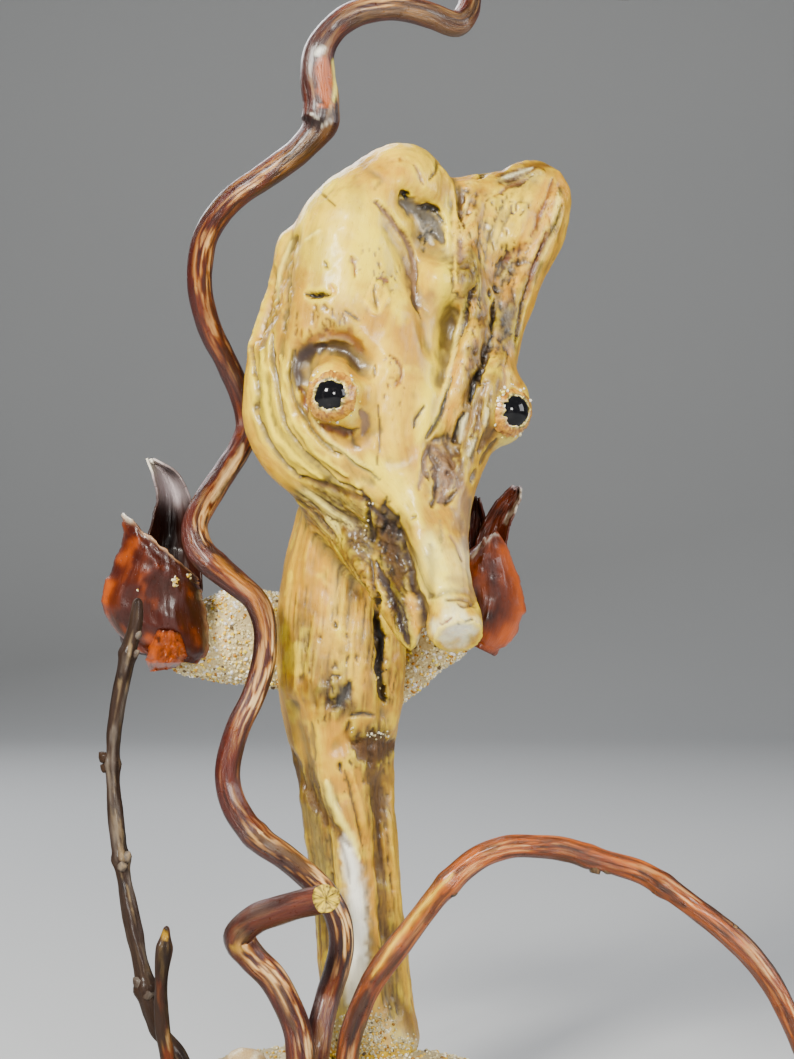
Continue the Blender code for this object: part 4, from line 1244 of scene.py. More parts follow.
@dataclass
class Driftwood:
    """The head, neck and trunk, cut from one piece of driftwood.

    Attributes:
        node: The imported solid.
        voxel: The size of the fine faces.
        smoothing: How often the facets are evened out.
        kept: The share of the faces that is kept.
        behind: How far back a corner has to face to lose more faces than the rest.
        grain_height: Height of the fibres all over, in millimetres.
        worn_height: Height of the fibres on the weathered side, in millimetres.
        spread: The course of the fibres in the head and in the neck.
        snout_px: The middle of the snout's flat end in the photograph.
        snout_depth: The y of that place.
    """

    node: str = "driftwood_horse"
    voxel: float = 0.59 * MM
    smoothing: int = 24
    kept: float = 0.72
    behind: float = 0.3
    grain_height: float = 0.15
    worn_height: float = 0.34
    spread: dict[str, tuple[tuple[float, ...], ...]] = field(
        default_factory=lambda: {
            # Height, then middle across, half width, middle depth and half depth, all in millimetres
            "head": (
                (120, 33, 7, -21, 7),
                (134, 31, 8, -16, 8),
                (144, 28, 10, -7, 9),
                (154, 24, 13, 2, 13),
                (164, 17, 20, 9, 18),
                (175, 13, 27, 13, 23),
                (190, 13, 30, 15, 24),
                (214, 20, 27, 16, 20),
                (240, 28, 30, 16, 16),
            ),
            "neck": (
                (20, 11, 13, 24, 12),
                (60, 8, 11.5, 24, 11),
                (85, 5, 12.5, 24, 12),
                (112, 4, 17, 24, 15),
                (145, 6, 16, 27, 15),
                (170, 10, 15, 28, 15),
            ),
        }
    )
    snout_px: tuple[float, float] = (455.0, 628.0)
    snout_depth: float = -24.3 * MM

    def surface(self) -> bpy.types.Object:
        """The solid's form in fine, even faces, without its facets, and with larger ones behind.

        Returns:
            The object.
        """
        made = merged_copy(self.node, "driftwood")
        apply_modifier(made, "REMESH", mode="VOXEL", voxel_size=self.voxel)
        apply_modifier(made, "SMOOTH", factor=0.5, iterations=self.smoothing)
        backward = read(made.data.vertex_normals, "vector", 3)[:, 1]
        behind = made.vertex_groups.new(name="behind")
        behind.add(np.flatnonzero(backward > self.behind).tolist(), 1.0, "REPLACE")
        apply_modifier(made, "DECIMATE", ratio=self.kept, vertex_group=behind.name)
        made.vertex_groups.clear()
        return made

    def grain(self, co: Array) -> Array:
        """Places along and across the wood's fibres, which draw together where the wood is slim.

        Args:
            co: World places.

        Returns:
            An (n, 3) array: across, into and along the grain, in millimetres of an even stick.
        """
        mm = co / MM
        flows = []
        for rows in self.spread.values():
            table = np.array(rows)
            middle, half, depth, thick = (np.interp(mm[:, 2], table[:, 0], table[:, k]) for k in range(1, 5))
            flows.append(np.column_stack([(mm[:, 0] - middle) / half, (mm[:, 1] - depth) / thick]) * 16)
        limit = np.interp(mm[:, 2], (110, 150, 176, 184), (-4, 6, 22, 60))
        head = 1 / (1 + np.exp((mm[:, 1] - limit) / 2.5))
        across = flows[0] * head[:, None] + flows[1] * (1 - head[:, None])
        return np.column_stack([across, mm[:, 2]])

    def cracks(self, grain: Array) -> Array:
        """How far each place along the grain is from a crack, from 0 to about 1."""
        return np.abs(layered_noise(grain * (0.34, 0.34, 0.02), 3, 26))

    def texture(self, skin: Skin, grain: Array) -> None:
        """Raises fibres and dents all over, more on the weathered side and the neck.

        Args:
            skin: The driftwood's surface.
            grain: Its places along the grain.
        """
        fibres = layered_noise(grain * (0.5, 0.5, 0.035), 3, 11)
        fine = layered_noise(grain * (1.5, 1.5, 0.12), 2, 12)
        cords = 1 - np.abs(layered_noise(grain * (0.30, 0.30, 0.018), 2, 15)) * 2
        dents = layered_noise(skin.co / MM * 0.16, 3, 13)
        worn = np.clip(0.55 + soft_noise(skin.co / MM * 0.05, 14), 0.25, 1)
        weathered = skin.covered(WEATHERED)
        height = (fibres * 1.2 + fine * 0.6) * (self.grain_height * worn + self.worn_height * weathered)
        height -= np.clip(1 - self.cracks(grain) * 9, 0, 1) * 0.4 * weathered
        skin.shift(height + cords * 0.3 * weathered + dents * (0.25 + 0.25 * weathered))

    def square_snout(self, skin: Skin) -> None:
        """Cuts the snout's end flat again, which smoothing has rounded.

        Args:
            skin: The driftwood's surface.
        """
        end = np.asarray(VIEW.place(self.snout_px, self.snout_depth))
        along = np.array((0.18, -0.73, -0.66))
        along /= np.linalg.norm(along)
        near = np.linalg.norm(skin.co - end, axis=1) < 10 * MM
        out = (skin.co - end) @ along
        cut = near & (out > -0.9 * MM) & (skin.normal @ along > 0.35)
        skin.shift(np.where(cut, -(out / MM) - 0.2, 0) * (skin.normal @ along))

    def paint(self, skin: Skin, grain: Array) -> None:
        """Lays the grounds, paints shade into the hollows and highlight onto the ridges, and adds every mark.

        Args:
            skin: The driftwood's surface.
            grain: Its places along the grain.
        """
        back = np.clip(skin.normal[:, 1] * 1.4, 0, 1)
        skin.blend(Ink.OCHRE, back * 0.6)
        aside = np.clip(np.abs(skin.normal[:, 0]) * 1.3 - 0.35 + np.clip(skin.normal[:, 1], -0.3, 1), 0, 1)
        skin.blend(Ink.TAN, aside * 0.45)
        for mark in GROUNDS:
            skin.stain((mark,))
        hidden = aside * np.clip(0.3 + layered_noise(skin.co / MM * 0.05, 2, 27), 0, 0.7)
        weathered = np.maximum(skin.covered(WEATHERED), hidden)
        drift = layered_noise(grain * (0.16, 0.16, 0.03), 3, 21)
        skin.blend(Ink.ORANGE, drift - 0.2, 0.5)
        skin.blend(Ink.OLIVE, -drift - 0.3, 0.45)
        fibres = layered_noise(grain * (0.45, 0.45, 0.03), 4, 22)
        streaked = weathered**2
        skin.wear = 0.35 + 1.05 * streaked
        skin.blend(Ink.BROWN, fibres * 2.2 - 0.1, 0.04 + 0.8 * streaked)
        skin.blend(Ink.YELLOW, -fibres * 1.3 - 0.2, 0.3)
        skin.blend(Ink.PALE, -fibres * 2.4 - 0.3, streaked * 0.75)
        skin.blend(Ink.UMBER, 1 - self.cracks(grain) * 9, streaked * 0.9)
        veins = np.abs(layered_noise(grain * (0.16, 0.16, 0.014), 4, 23))
        skin.blend(Ink.BROWN, 1 - veins * 10, 0.08 + 0.55 * streaked)
        blots = layered_noise(skin.co / MM * 0.22, 4, 24)
        skin.blend(Ink.UMBER, blots * 2.4 - 0.6, weathered * 0.85)
        skin.blend(Ink.CREAM, -blots * 2 - 0.7, 0.4)
        clouds = layered_noise(skin.co / MM * (0.13, 0.13, 0.06), 5, 25)
        skin.blend(Ink.OLIVE, clouds * 2.4 - 0.1, 0.16 + 0.65 * weathered)
        skin.blend(Ink.BROWN, clouds * 2.6 - 0.5, 0.12 + 0.88 * weathered)
        # Painted shade: olive, brown and umber laid into the hollows at three widths, more where weathered,
        # then a painted highlight of cream on the ridges
        folds, broad, close = skin.hollow(70), skin.hollow(14), skin.hollow(3)
        skin.blend(Ink.OLIVE, np.clip(folds * 1.5 - 0.05, 0, 0.65))
        skin.blend(Ink.BROWN, np.clip(folds * 1.1 - 0.35, 0, 0.6))
        skin.blend(Ink.OLIVE, np.clip(broad * 3.8, 0, 0.75))
        skin.blend(Ink.BROWN, np.clip(broad * 3.6 - 0.3, 0, 0.85) * (0.5 + 0.5 * weathered))
        skin.blend(Ink.UMBER, np.clip(close * 13 - 0.2, 0, 0.8) * (0.16 + 0.84 * weathered))
        skin.blend(Ink.CREAM, np.clip(-broad * 2.0 - 0.1, 0, 0.6) * (1 - 0.8 * weathered))
        skin.stain(SCARS)

    def build(self, draw: np.random.Generator) -> bpy.types.Object:
        """Makes the driftwood.

        Args:
            draw: Where random numbers come from.

        Returns:
            The piece.
        """
        made = self.surface()
        skin = Skin(made.data, Ink.OCHRE.linear)
        self.square_snout(skin)
        holes = [mark for pits in WORMED for mark in pits.marks(draw)]
        skin.press([*SCARS, *holes])
        grain = self.grain(skin.co)
        self.texture(skin, grain)
        self.paint(skin, grain)
        skin.stain(holes)
        skin.store()
        write_attribute(made.data, "grain", grain)
        made.data.shade_smooth()
        finish = FibreFinish("varnished_driftwood", 0.9, 0.07, 0.75, 0.0004, 0.2, 0.42, 0.35)
        place_piece(made, finish.material(), "driftwood", self.node)
        return made


@dataclass(frozen=True)
class Bud:
    """A bud or twig scar that stands on a stem: its place in the photograph, length and half width in mm."""

    pixel: tuple[float, float]
    length: float = 2.2
    width: float = 1.1
    towards: tuple[float, float, float] = (0, -1, 0)
    ink: Ink = Ink.BARK_BLACK


@dataclass(frozen=True)
class Bark:
    """The look of a stem's bark: its ground and the patches on it, from large to small, with their shares."""

    ground: Ink
    patches: tuple[tuple[Ink, float], ...]
    # Laid as painted shade on the side turned from the light, and in the dark fibres
    shade: Ink = Ink.BARK_SHADE
    # Laid as painted highlight along the fibres on the side that faces the light
    gloss: Ink = Ink.BARK_GOLD
    ridge: float = 0.05
    patch_length: float = 26.0
    # How strongly that painted highlight is laid
    shine: float = 0.9


@dataclass
class Stem:
    """A willow stem or twig, rounded out from its packed tube."""

    # Share of the tube's radius, and how far past its end in radii, of each ring that closes it
    ROUND_END: ClassVar[tuple] = ((0.9, 0.35), (0.6, 0.8), (0.25, 1.05))
    SAWN_END: ClassVar[tuple] = (
        (0.97, 0.1), (0.85, 0.14), (0.7, 0.1), (0.5, 0.14), (0.3, 0.1), (0.12, 0.14)
    )

    node: str
    bark: Bark
    finish: FibreFinish
    slot: str
    knots: tuple[tuple[float, float, float, float], ...] = ()
    marks: tuple[Mark, ...] = ()
    buds: tuple[Bud, ...] = ()
    sawn: bool = False
    obliqueness: float = 0.7
    sides: int = 60
    steps: int = 8
    seed: int = 0

    def rings(self) -> Array:
        """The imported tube's middle line and radius, ring by ring from its root.

        Returns:
            An (n, 4) array of x, y, z and radius.
        """
        bm = bmesh.new()
        bm.from_mesh(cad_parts[self.node].data)
        bmesh.ops.remove_doubles(bm, verts=bm.verts, dist=1e-6)
        bm.verts.index_update()
        low = min(vert.co.z for vert in bm.verts)
        ring = [vert for vert in bm.verts if vert.co.z < low + 1e-5]
        known, rows = set(ring), []
        while ring:
            places = np.array([vert.co for vert in sorted(ring, key=lambda vert: vert.index)])
            middle = places.mean(0)
            rows.append((*middle, np.linalg.norm(places - middle, axis=1).mean()))
            around = {edge.other_vert(vert) for vert in ring for edge in vert.link_edges}
            ring = [vert for vert in around if vert not in known]
            known.update(ring)
        bm.free()
        return np.array(rows)

    def tube(self, shape: Shape) -> Array:
        """Adds the stem's skin to a shape.

        Args:
            shape: What it is added to.

        Returns:
            The middle line, an (n, 4) array of x, y, z and radius.
        """
        line = smooth_run(self.rings(), self.steps)
        places, radii = line[:, :3], line[:, 3]
        run = np.gradient(places, axis=0)
        run /= np.linalg.norm(run, axis=1)[:, None]
        along = np.concatenate([[0], np.cumsum(np.linalg.norm(np.diff(places, axis=0), axis=1))]) / MM
        side = np.cross(run[0], (0, -1, 0))
        sides = []
        for direction in run:
            side = side - direction * (side @ direction)
            side /= np.linalg.norm(side)
            sides.append(side)
        across = np.array(sides)
        front = np.cross(across, run)
        pixel = VIEW.pixels(places)
        swell = np.ones(len(line))
        for x, y, share, length in self.knots:
            nearest = np.linalg.norm(pixel - (x, y), axis=1).argmin()
            swell += share * np.exp(-(((along - along[nearest]) / length) ** 2))
        turn = np.linspace(0, math.tau, self.sides, endpoint=False)
        round_ = np.column_stack([np.cos(turn), np.sin(turn)])
        rows = []
        for k in range(len(line)):
            grain = np.column_stack([round_ * 1.1, np.full(self.sides, along[k] / 9)])
            fine = soft_noise(grain * (3.4, 3.4, 0.7), self.seed + 9)
            rough = layered_noise(grain, 3, self.seed) + 0.8 * fine
            reach = radii[k] * swell[k] * (1 + self.bark.ridge * rough)
            aside = across[k] * (reach * round_[:, 0])[:, None]
            rows.append(places[k] + aside + front[k] * (reach * round_[:, 1])[:, None])
        if self.sawn:
            towards = np.asarray(VIEW.eye) - places[-1]
            towards -= run[-1] * (towards @ run[-1])
            towards /= np.linalg.norm(towards)
            for k in range(-self.steps, 0):
                lean = (rows[k] - places[k]) @ towards * self.obliqueness * (1 + (k + 1) / self.steps)
                rows[k] = rows[k] - lean[:, None] * run[-1]
        last, count = rows[-1], len(line)
        for share, out in self.SAWN_END if self.sawn else self.ROUND_END:
            rows.append(places[-1] + (last - places[-1]) * share + run[-1] * out * radii[-1])
        corners = np.concatenate(rows)
        faces = hoops(len(rows), self.sides, True)
        spots = np.repeat(np.append(along, [along[-1]] * (len(rows) - count)), self.sides)
        grain = np.column_stack([np.tile(round_, (len(rows), 1)) * 3, spots])
        tint = self.tinted(grain)
        if self.sawn:
            fibre = layered_noise(corners[count * self.sides :] / MM * 2.5, 3, 91)
            corners[count * self.sides :] += np.outer(fibre * 0.35 * MM, run[-1])
            share = np.clip(-fibre * 2 - 0.1, 0, 0.8)[:, None]
            tint[count * self.sides :] = Ink.SAW_CUT.linear * (1 - share) + Ink.BROWN.linear * share
        shape.add(corners, faces, tint, grain)
        return line

    def tinted(self, grain: Array) -> Array:
        """The bark's colour at places around and along the stem, in slow patches.

        Args:
            grain: The places.

        Returns:
            One linear colour a place.
        """
        tint = np.tile(self.bark.ground.linear, (len(grain), 1))
        for step, (ink, share) in enumerate(self.bark.patches):
            place = grain * (0.3, 0.3, 1 / self.bark.patch_length)
            cover = layered_noise(place, 3, self.seed + 30 + step) + (share - 0.5)
            tint = laid(tint, ink, np.clip(cover * 2.5, 0, 1) * 0.8)
        return tint

    def bud(self, shape: Shape, line: Array, bud: Bud) -> None:
        """Adds one bud to the shape, standing on the stem.

        Args:
            shape: What it is added to.
            line: The stem's middle line and radii.
            bud: The bud.
        """
        nearest = np.linalg.norm(VIEW.pixels(line[:, :3]) - bud.pixel, axis=1).argmin()
        foot, radius = line[nearest, :3], line[nearest, 3]
        out = np.asarray(Vector(bud.towards).normalized())
        run = line[min(nearest + 1, len(line) - 1), :3] - line[max(nearest - 1, 0), :3]
        run /= np.linalg.norm(run)
        lean = out * 0.75 + run * 0.65
        lean /= np.linalg.norm(lean)
        side = np.cross(lean, run + 0.01)
        side /= np.linalg.norm(side)
        front = np.cross(lean, side)
        sides, rings = 10, 7
        turn = np.linspace(0, math.tau, sides, endpoint=False)
        corners = []
        for k in range(rings + 1):
            share = k / rings
            wide = bud.width * (1 - share) ** 0.6 * (1 + 0.5 * math.sin(share * math.pi)) * MM
            middle = foot + out * radius * 0.6 + lean * share * bud.length * MM
            wave = 1 + 0.12 * np.sin(turn * 3 + bud.pixel[0] + k)
            ring = np.cos(turn)[:, None] * side + np.sin(turn)[:, None] * front
            corners.append(middle + ring * (max(wide, 0.02 * MM) * wave)[:, None])
        placed = np.concatenate(corners)
        shape.add(placed, hoops(rings + 1, sides, True), bud.ink.linear, placed / MM * 0.6)

    def build(self) -> bpy.types.Object:
        """Makes the stem and its buds as one piece.

        Returns:
            The piece.
        """
        shape = Shape()
        line = self.tube(shape)
        for bud in self.buds:
            self.bud(shape, line, bud)
        made = shape.build(f"{self.node}_bark")
        activate(made)
        bpy.ops.object.mode_set(mode="EDIT")
        bpy.ops.mesh.select_all(action="SELECT")
        bpy.ops.mesh.normals_make_consistent(inside=False)
        bpy.ops.object.mode_set(mode="OBJECT")
        skin = Skin(made.data, np.concatenate(shape.tints))
        # Painted shade: the bark's dark colour laid on the side that turns from the light
        shaded = np.clip(skin.normal @ np.array((-0.85, -0.1, -0.35)) * 1.4 - 0.35, 0, 1)
        skin.blend(self.bark.shade, shaded * 0.75)
        skin.press(self.marks)
        worn = np.clip(0.5 + layered_noise(skin.co / MM * 0.06, 2, self.seed + 20), 0.15, 1)
        # Painted highlight: gold streaks and bright glints laid along the fibres on the side that faces the
        # light, in patches
        lit = np.clip(skin.normal @ np.array((0.50, -0.82, 0.28)) * 1.8 - 0.7, 0, 1)
        grain = np.concatenate(shape.grains)
        fibres = layered_noise(grain * (1.7, 1.7, 0.17), 3, self.seed + 50)
        skin.blend(self.bark.shade, np.clip(-fibres * 1.7 - 0.1, 0, 0.7))
        skin.blend(self.bark.gloss, fibres * 2.2 + 0.05, lit * worn * self.bark.shine)
        skin.blend(Ink.BARK_GLINT, fibres * 3 - 0.6, lit**2 * worn * self.bark.shine)
        skin.stain(self.marks)
        skin.store()
        place_piece(made, self.finish.material(), self.slot, self.node)
        return made


STEM_MARKS: tuple[Mark, ...] = (
    Mark((324, 58, 326, 80, 327, 102), 9, 0.25, Ink.BARK_ORANGE, 0.95, 4),
    Mark((333, 60, 336, 84, 333, 103), 2.2, 0, Ink.PALE, 0.95),
    Mark((317, 53, 326, 49), 3.4, 0, Ink.WHITE, 0.9),
    Mark((304, 118, 320, 122, 336, 112), 8, 0.2, Ink.BARK_BLACK, 0.85),
    Mark((309, 113, 318, 117), 1.5, -0.2, Ink.SILVER),
    Mark((322, 127, 333, 120), 1.4, -0.2, Ink.SILVER, 0.7),
    Mark((318, 106, 334, 104), 1.6, -0.3, Ink.BARK_ORANGE, 0.9),
    Mark((318, 136, 300, 150, 284, 160), 10, 0, Ink.UMBER, 0.7),
    Mark((222, 350, 236, 380, 242, 400), 8, 0, Ink.BARK_SHADE, 0.7),
    # Painted highlight along the lit side of the stem
    Mark((243, 446, 228, 474, 213, 500), 3.4, 0, Ink.BARK_GLINT, 0.6),
    Mark((194, 505, 186, 530, 192, 560), 8, 0, Ink.MAHOGANY),
    # Painted highlight on the stem's right side
    Mark((214, 556, 236, 576, 256, 600, 268, 640), 4, 0, Ink.BARK_GOLD, 0.45),
    # Painted shade on the stem's left side
    Mark((204, 566, 226, 588, 246, 612, 254, 650), 4, 0, Ink.BARK_SHADE, 0.6),
    Mark((228, 735, 228, 768, 240, 800), 8, 0, Ink.MAHOGANY),
    Mark((254, 834, 286, 852, 316, 876), 6, 0, Ink.BARK_GREY, 0.65),
)

CUT_MARKS: tuple[Mark, ...] = (
    Mark((240, 922, 275, 902, 305, 890), 6, 0, Ink.BARK_SHADE, 0.75),
    Mark((250, 940, 285, 916, 308, 908), 5, 0, Ink.MAHOGANY),
    Mark((236, 930, 246, 940), 6, 0, Ink.BARK_GREY, 0.6),
    Mark((232, 948, 241, 950), 4.5, 0.1, Ink.TAN, 0.6),
    # Painted highlight down the middle of the lower stem
    Mark((256, 958, 278, 990, 294, 1030), 4, 0, Ink.BARK_GREY, 0.3),
)

ARCH_MARKS: tuple[Mark, ...] = (
    Mark((350, 1044, 356, 1018, 368, 992), 8, 0, Ink.BARK_BLACK),
    Mark((362, 1036, 364, 1020), 2, 0, Ink.BARK_GREY, 0.7),
    Mark((370, 984, 378, 970), 2.2, 0.2, Ink.BARK_BLACK, 0.9),
    Mark((424, 922, 434, 912), 3, 0.1, Ink.BARK_BLACK, 0.7),
    Mark((482, 850, 500, 846), 5, 0, Ink.UMBER, 0.7),
    Mark((560, 846, 588, 852), 4, 0, Ink.BARK_BLACK, 0.6),
    Mark((640, 872, 662, 886, 684, 906), 6, 0, Ink.BARK_BLACK, 0.75),
    Mark((712, 924, 730, 938), 4, 0, Ink.BARK_BLACK, 0.6),
    # Painted highlight along the top of the lower arc
    Mark((372, 976, 396, 940, 426, 902, 452, 874), 5, 0, Ink.BARK_GOLD, 0.6),
    Mark((372, 976, 396, 940, 426, 902, 452, 874), 2, 0, Ink.SAW_CUT, 0.6),
)

ARCH_BUDS: tuple[Bud, ...] = (
    Bud((455, 895), 2.2, 1.1, (0.5, -0.4, -0.75)),
    Bud((590, 868), 2.8, 1.3, (-0.1, -0.4, -0.9), Ink.BARK_GREY),
    Bud((600, 868), 2.2, 1.1, (0.2, -0.4, -0.9), Ink.BARK_GREY),
    Bud((655, 886), 2.2, 1.2, (-0.2, -0.3, -0.9)),
    Bud((740, 920), 1.8, 0.9, (0.4, -0.3, 0.8)),
)

TWIG_BUDS: tuple[Bud, ...] = (
    Bud((106, 760), 3.0, 1.4, (-1, -0.2, 0.1), Ink.UMBER),
    Bud((106, 768), 2.2, 1.2, (-0.9, -0.3, -0.3), Ink.UMBER),
    Bud((128, 858), 2.8, 1.3, (0.8, -0.5, 0.1), Ink.TWIG_GREY),
    Bud((128, 866), 2.4, 1.2, (0.2, -0.9, -0.1), Ink.TWIG_GREY),
    Bud((146, 985), 2.8, 1.3, (-0.8, -0.5, 0.2), Ink.TWIG_GREY),
    Bud((147, 995), 2.4, 1.3, (0.2, -0.9, 0), Ink.TWIG_GREY),
    Bud((134, 640), 2.4, 1.0, (0.7, -0.6, 0.2), Ink.TWIG_GREY),
    Bud((135, 655), 2.4, 1.0, (0.8, -0.4, -0.2), Ink.TWIG_GREY),
)


def willow_stems() -> list[Stem]:
    """The three willow stems, the budded twig and the broken stub.

    Returns:
        The stems, not yet built.
    """
    glossy = FibreFinish("varnished_willow_bark", 1.1, 0.045, 0.8, 0.0005, 0.2, 0.30, 0.45)
    dull = FibreFinish("dull_twig_bark", 1.3, 0.3, 0.6, 0.0003, 0.1, 0.62)
    willow = Bark(Ink.MAHOGANY, ((Ink.COPPER, 0.5), (Ink.BARK_SHADE, 0.4), (Ink.BARK_GREY, 0.12)))
    reds = ((Ink.COPPER, 0.5), (Ink.MAHOGANY, 0.25), (Ink.UMBER, 0.2))
    orange = Bark(Ink.BARK_ORANGE, reds, Ink.UMBER, Ink.BARK_GOLD, 0.07, shine=0.55)
    greys = ((Ink.TWIG_GREY, 0.35), (Ink.BARK_BLACK, 0.25))
    rough = Bark(Ink.TWIG, greys, Ink.UMBER, Ink.TWIG_GREY, 0.2, 9.0, 0.25)
    return [
        Stem(
            "willow_stem", willow, glossy, "willow_bark",
            ((322, 122, 0.16, 2.2), (250, 838, 0.10, 2.0), (268, 610, 0.06, 2.5), (214, 566, 0.05, 2.0)),
            STEM_MARKS, (Bud((250, 838), 2.0, 1.5, (0.5, -0.85, 0.2), Ink.BARK_GREY),), seed=3
        ),
        Stem(
            "willow_cut_stem", willow, glossy, "willow_bark", ((238, 945, 0.10, 2.0),), CUT_MARKS, (), True,
            seed=5
        ),
        Stem(
            "willow_arch", orange, glossy, "willow_bark",
            ((455, 890, 0.14, 2.0), (590, 862, 0.12, 2.0), (662, 886, 0.14, 2.2), (400, 950, 0.06, 3.0)),
            ARCH_MARKS, ARCH_BUDS, seed=7
        ),
        Stem(
            "budded_twig", rough, dull, "twig_bark",
            ((104, 765, 0.35, 1.6), (128, 860, 0.4, 1.6), (146, 990, 0.4, 1.8), (134, 655, 0.3, 1.4)), (),
            TWIG_BUDS, sides=24, seed=9
        ),
        Stem(
            "twig_stub",
            Bark(Ink.TWIG, ((Ink.COPPER, 0.4), (Ink.BARK_BLACK, 0.3)), Ink.UMBER, Ink.TAN, 0.16, 9.0, 0.3),
            dull, "twig_bark", ((165, 945, 0.15, 1.4),),
            (Mark((163, 930, 166, 938), 4, 0.2, Ink.TAN, 0.8, 3),), (), sides=24, seed=11
        ),
    ]


@dataclass(frozen=True)
class Bract:
    """One papery leaf of a pod, drawn as its left and right edges in pixels, from its foot to its tip.

    Attributes:
        rows: Left x and y, then right x and y, of each row.
        bulge: How far it bows towards the front, in millimetres. A back leaf has a negative bulge.
        ground: The colour of its middle.
        edge: The colour of its borders.
        tip: The colour of its tip.
        marks: Strokes on it.
        seed: Which of the wrinkle patterns it has.
    """

    rows: tuple[tuple[float, float, float, float], ...]
    bulge: float
    ground: Ink
    edge: Ink
    tip: Ink
    marks: tuple[Mark, ...] = ()
    seed: int = 0


@dataclass
class SeedPod:
    """A dried pod: a dark cup between papery leaves."""

    node: str
    middle: tuple[float, float, float]
    side: int
    share: float
    bracts: tuple[Bract, ...] = ()
    height: float = 0.036
    radius: float = 0.0092
    wall: float = 0.0006
    tooth: float = 0.002
    low_rim: float = 0.5
    rings: int = 30
    around: int = 90
    across: int = 56
    upward: int = 84

    def cup(self, shape: Shape) -> None:
        """Adds the inner cup, open at its rim.

        Args:
            shape: What it is added to.
        """
        rise = np.linspace(0, 1, self.rings + 1)[1:]
        angle = np.linspace(0, math.tau, self.around, endpoint=False)
        rise, angle = (values.ravel() for values in np.meshgrid(rise, angle, indexing="ij"))
        belly = np.sin(math.pi * (0.12 + 0.50 * rise)) ** 0.55
        rim = 0.72 * self.height * (1 - self.low_rim * (1 - np.cos(angle - 0.5)) / 2)
        rim += self.tooth * np.sin(angle * 5)
        round_ = np.column_stack([np.cos(angle), np.sin(angle)])
        spots = np.column_stack([round_ * 6, rise * 12])
        wrinkle = layered_noise(spots * (1, 1, 0.35), 3, 41) * 0.04
        corners = np.column_stack([round_ * (belly * (1 + wrinkle))[:, None] * self.radius, rise * rim])
        corners = np.vstack([corners, (0, 0, 0)])
        turn = np.diag((self.side * self.share, self.share, self.share)) @ np.array(
            Matrix.Rotation(math.radians(16), 3, "X") @ Matrix.Rotation(math.radians(-14), 3, "Y")
        )
        corners = (corners - (0, 0, self.height / 2)) @ turn.T + self.middle
        faces = [face[:: self.side] for face in hoops(self.rings, self.around)]
        foot = len(corners) - 1
        faces.extend([[foot, (j + 1) % self.around, j][:: self.side] for j in range(self.around)])
        shape.add(corners, faces, Ink.HUSK_DARK.linear, np.vstack([spots, (0, 0, 0)]))

    def leaf(self, shape: Shape, bract: Bract) -> None:
        """Adds one papery leaf as a bowed and wrinkled sheet.

        Args:
            shape: What it is added to.
            bract: The leaf.
        """
        rows = smooth_run(bract.rows, 12)
        upward = np.linspace(0, len(rows) - 1, self.upward)
        edges = np.column_stack([np.interp(upward, np.arange(len(rows)), column) for column in rows.T])
        v, u = (values.ravel() for values in np.meshgrid(
            np.linspace(0, 1, self.upward), np.linspace(0, 1, self.across), indexing="ij"
        ))
        left = np.repeat(edges[:, :2], self.across, axis=0)
        right = np.repeat(edges[:, 2:], self.across, axis=0)
        spots = np.column_stack([u * 4, v * 6, np.full(len(u), bract.seed)])
        frayed = layered_noise(spots * 2.5, 3, 44 + bract.seed) * 1.6
        frayed *= np.clip(np.linalg.norm(right - left, axis=1) / 60, 0.1, 1)
        pixel = left + (right - left) * u[:, None] + frayed[:, None] * np.abs(2 * u - 1)[:, None] ** 6
        pixel[:, 1] += layered_noise(spots * (3, 0, 1), 3, 48 + bract.seed) * v**8 * 1.6
        wrinkle = layered_noise(spots * (0.8, 0.5, 1), 3, 50 + bract.seed) * 1.2
        fibres = layered_noise(spots * (5, 0.8, 1), 3, 52 + bract.seed) * 0.12
        bow = np.sqrt(np.clip(1 - (2 * u - 1) ** 2 * 0.96, 0, 1))
        under = np.clip(v * 4, 0.25, 1) ** 0.5
        depth = self.middle[1] - (bract.bulge * bow * under + wrinkle + fibres) * MM
        places = np.array([VIEW.place(at, y) for at, y in zip(pixel, depth)])
        faces = []
        for k, j in itertools.product(range(self.upward - 1), range(self.across - 1)):
            a, b = k * self.across + j, (k + 1) * self.across + j
            faces.append([a, a + 1, b + 1, b])
        tint = self.leaf_tint(bract, u, v, spots, wrinkle + fibres, pixel)
        shape.add(places, faces, tint, np.column_stack([u * 12, v * 2, v * 24]))

    def leaf_tint(self, bract: Bract, u: Array, v: Array, spots: Array, relief: Array, pixel: Array) -> Array:
        """The leaf's colours: dark in its hollows, bright at its borders and tip, with its own strokes.

        Args:
            bract: The leaf.
            u: How far across it each place is, from 0 to 1.
            v: How far up it each place is, from 0 to 1.
            spots: The places that its noises are read at.
            relief: How far its wrinkles stand out there, in millimetres.
            pixel: The places in the photograph.

        Returns:
            One linear colour a place.
        """
        tint = np.tile(bract.ground.linear, (len(u), 1))
        mottle = layered_noise(spots * (2, 1.2, 1), 4, 60 + bract.seed)
        veins = np.abs(layered_noise(spots * (5, 0.7, 1), 2, 64 + bract.seed))
        layers = [
            (Ink.HUSK_DARK, mottle * 0.8),
            (bract.edge, -mottle * 0.5 - 0.15),
            (bract.edge, (np.abs(2 * u - 1) - 0.9) * 6),
            (Ink.HUSK_DARK, (1 - veins * 9) * 0.35),
            (Ink.HUSK_DARK, -relief * 0.35),
            (bract.edge, relief * 0.2 - 0.05),
            (bract.tip, (v - 0.93) * 12),
        ]
        for mark in bract.marks:
            away, _ = distance_to(mark.points, pixel + mottle[:, None] * 2)
            layers.append((mark.ink, np.exp(-((away / mark.width) ** 2)) * mark.strength))
        for ink, share in layers:
            tint = laid(tint, ink, np.clip(share, 0, 1))
        return tint

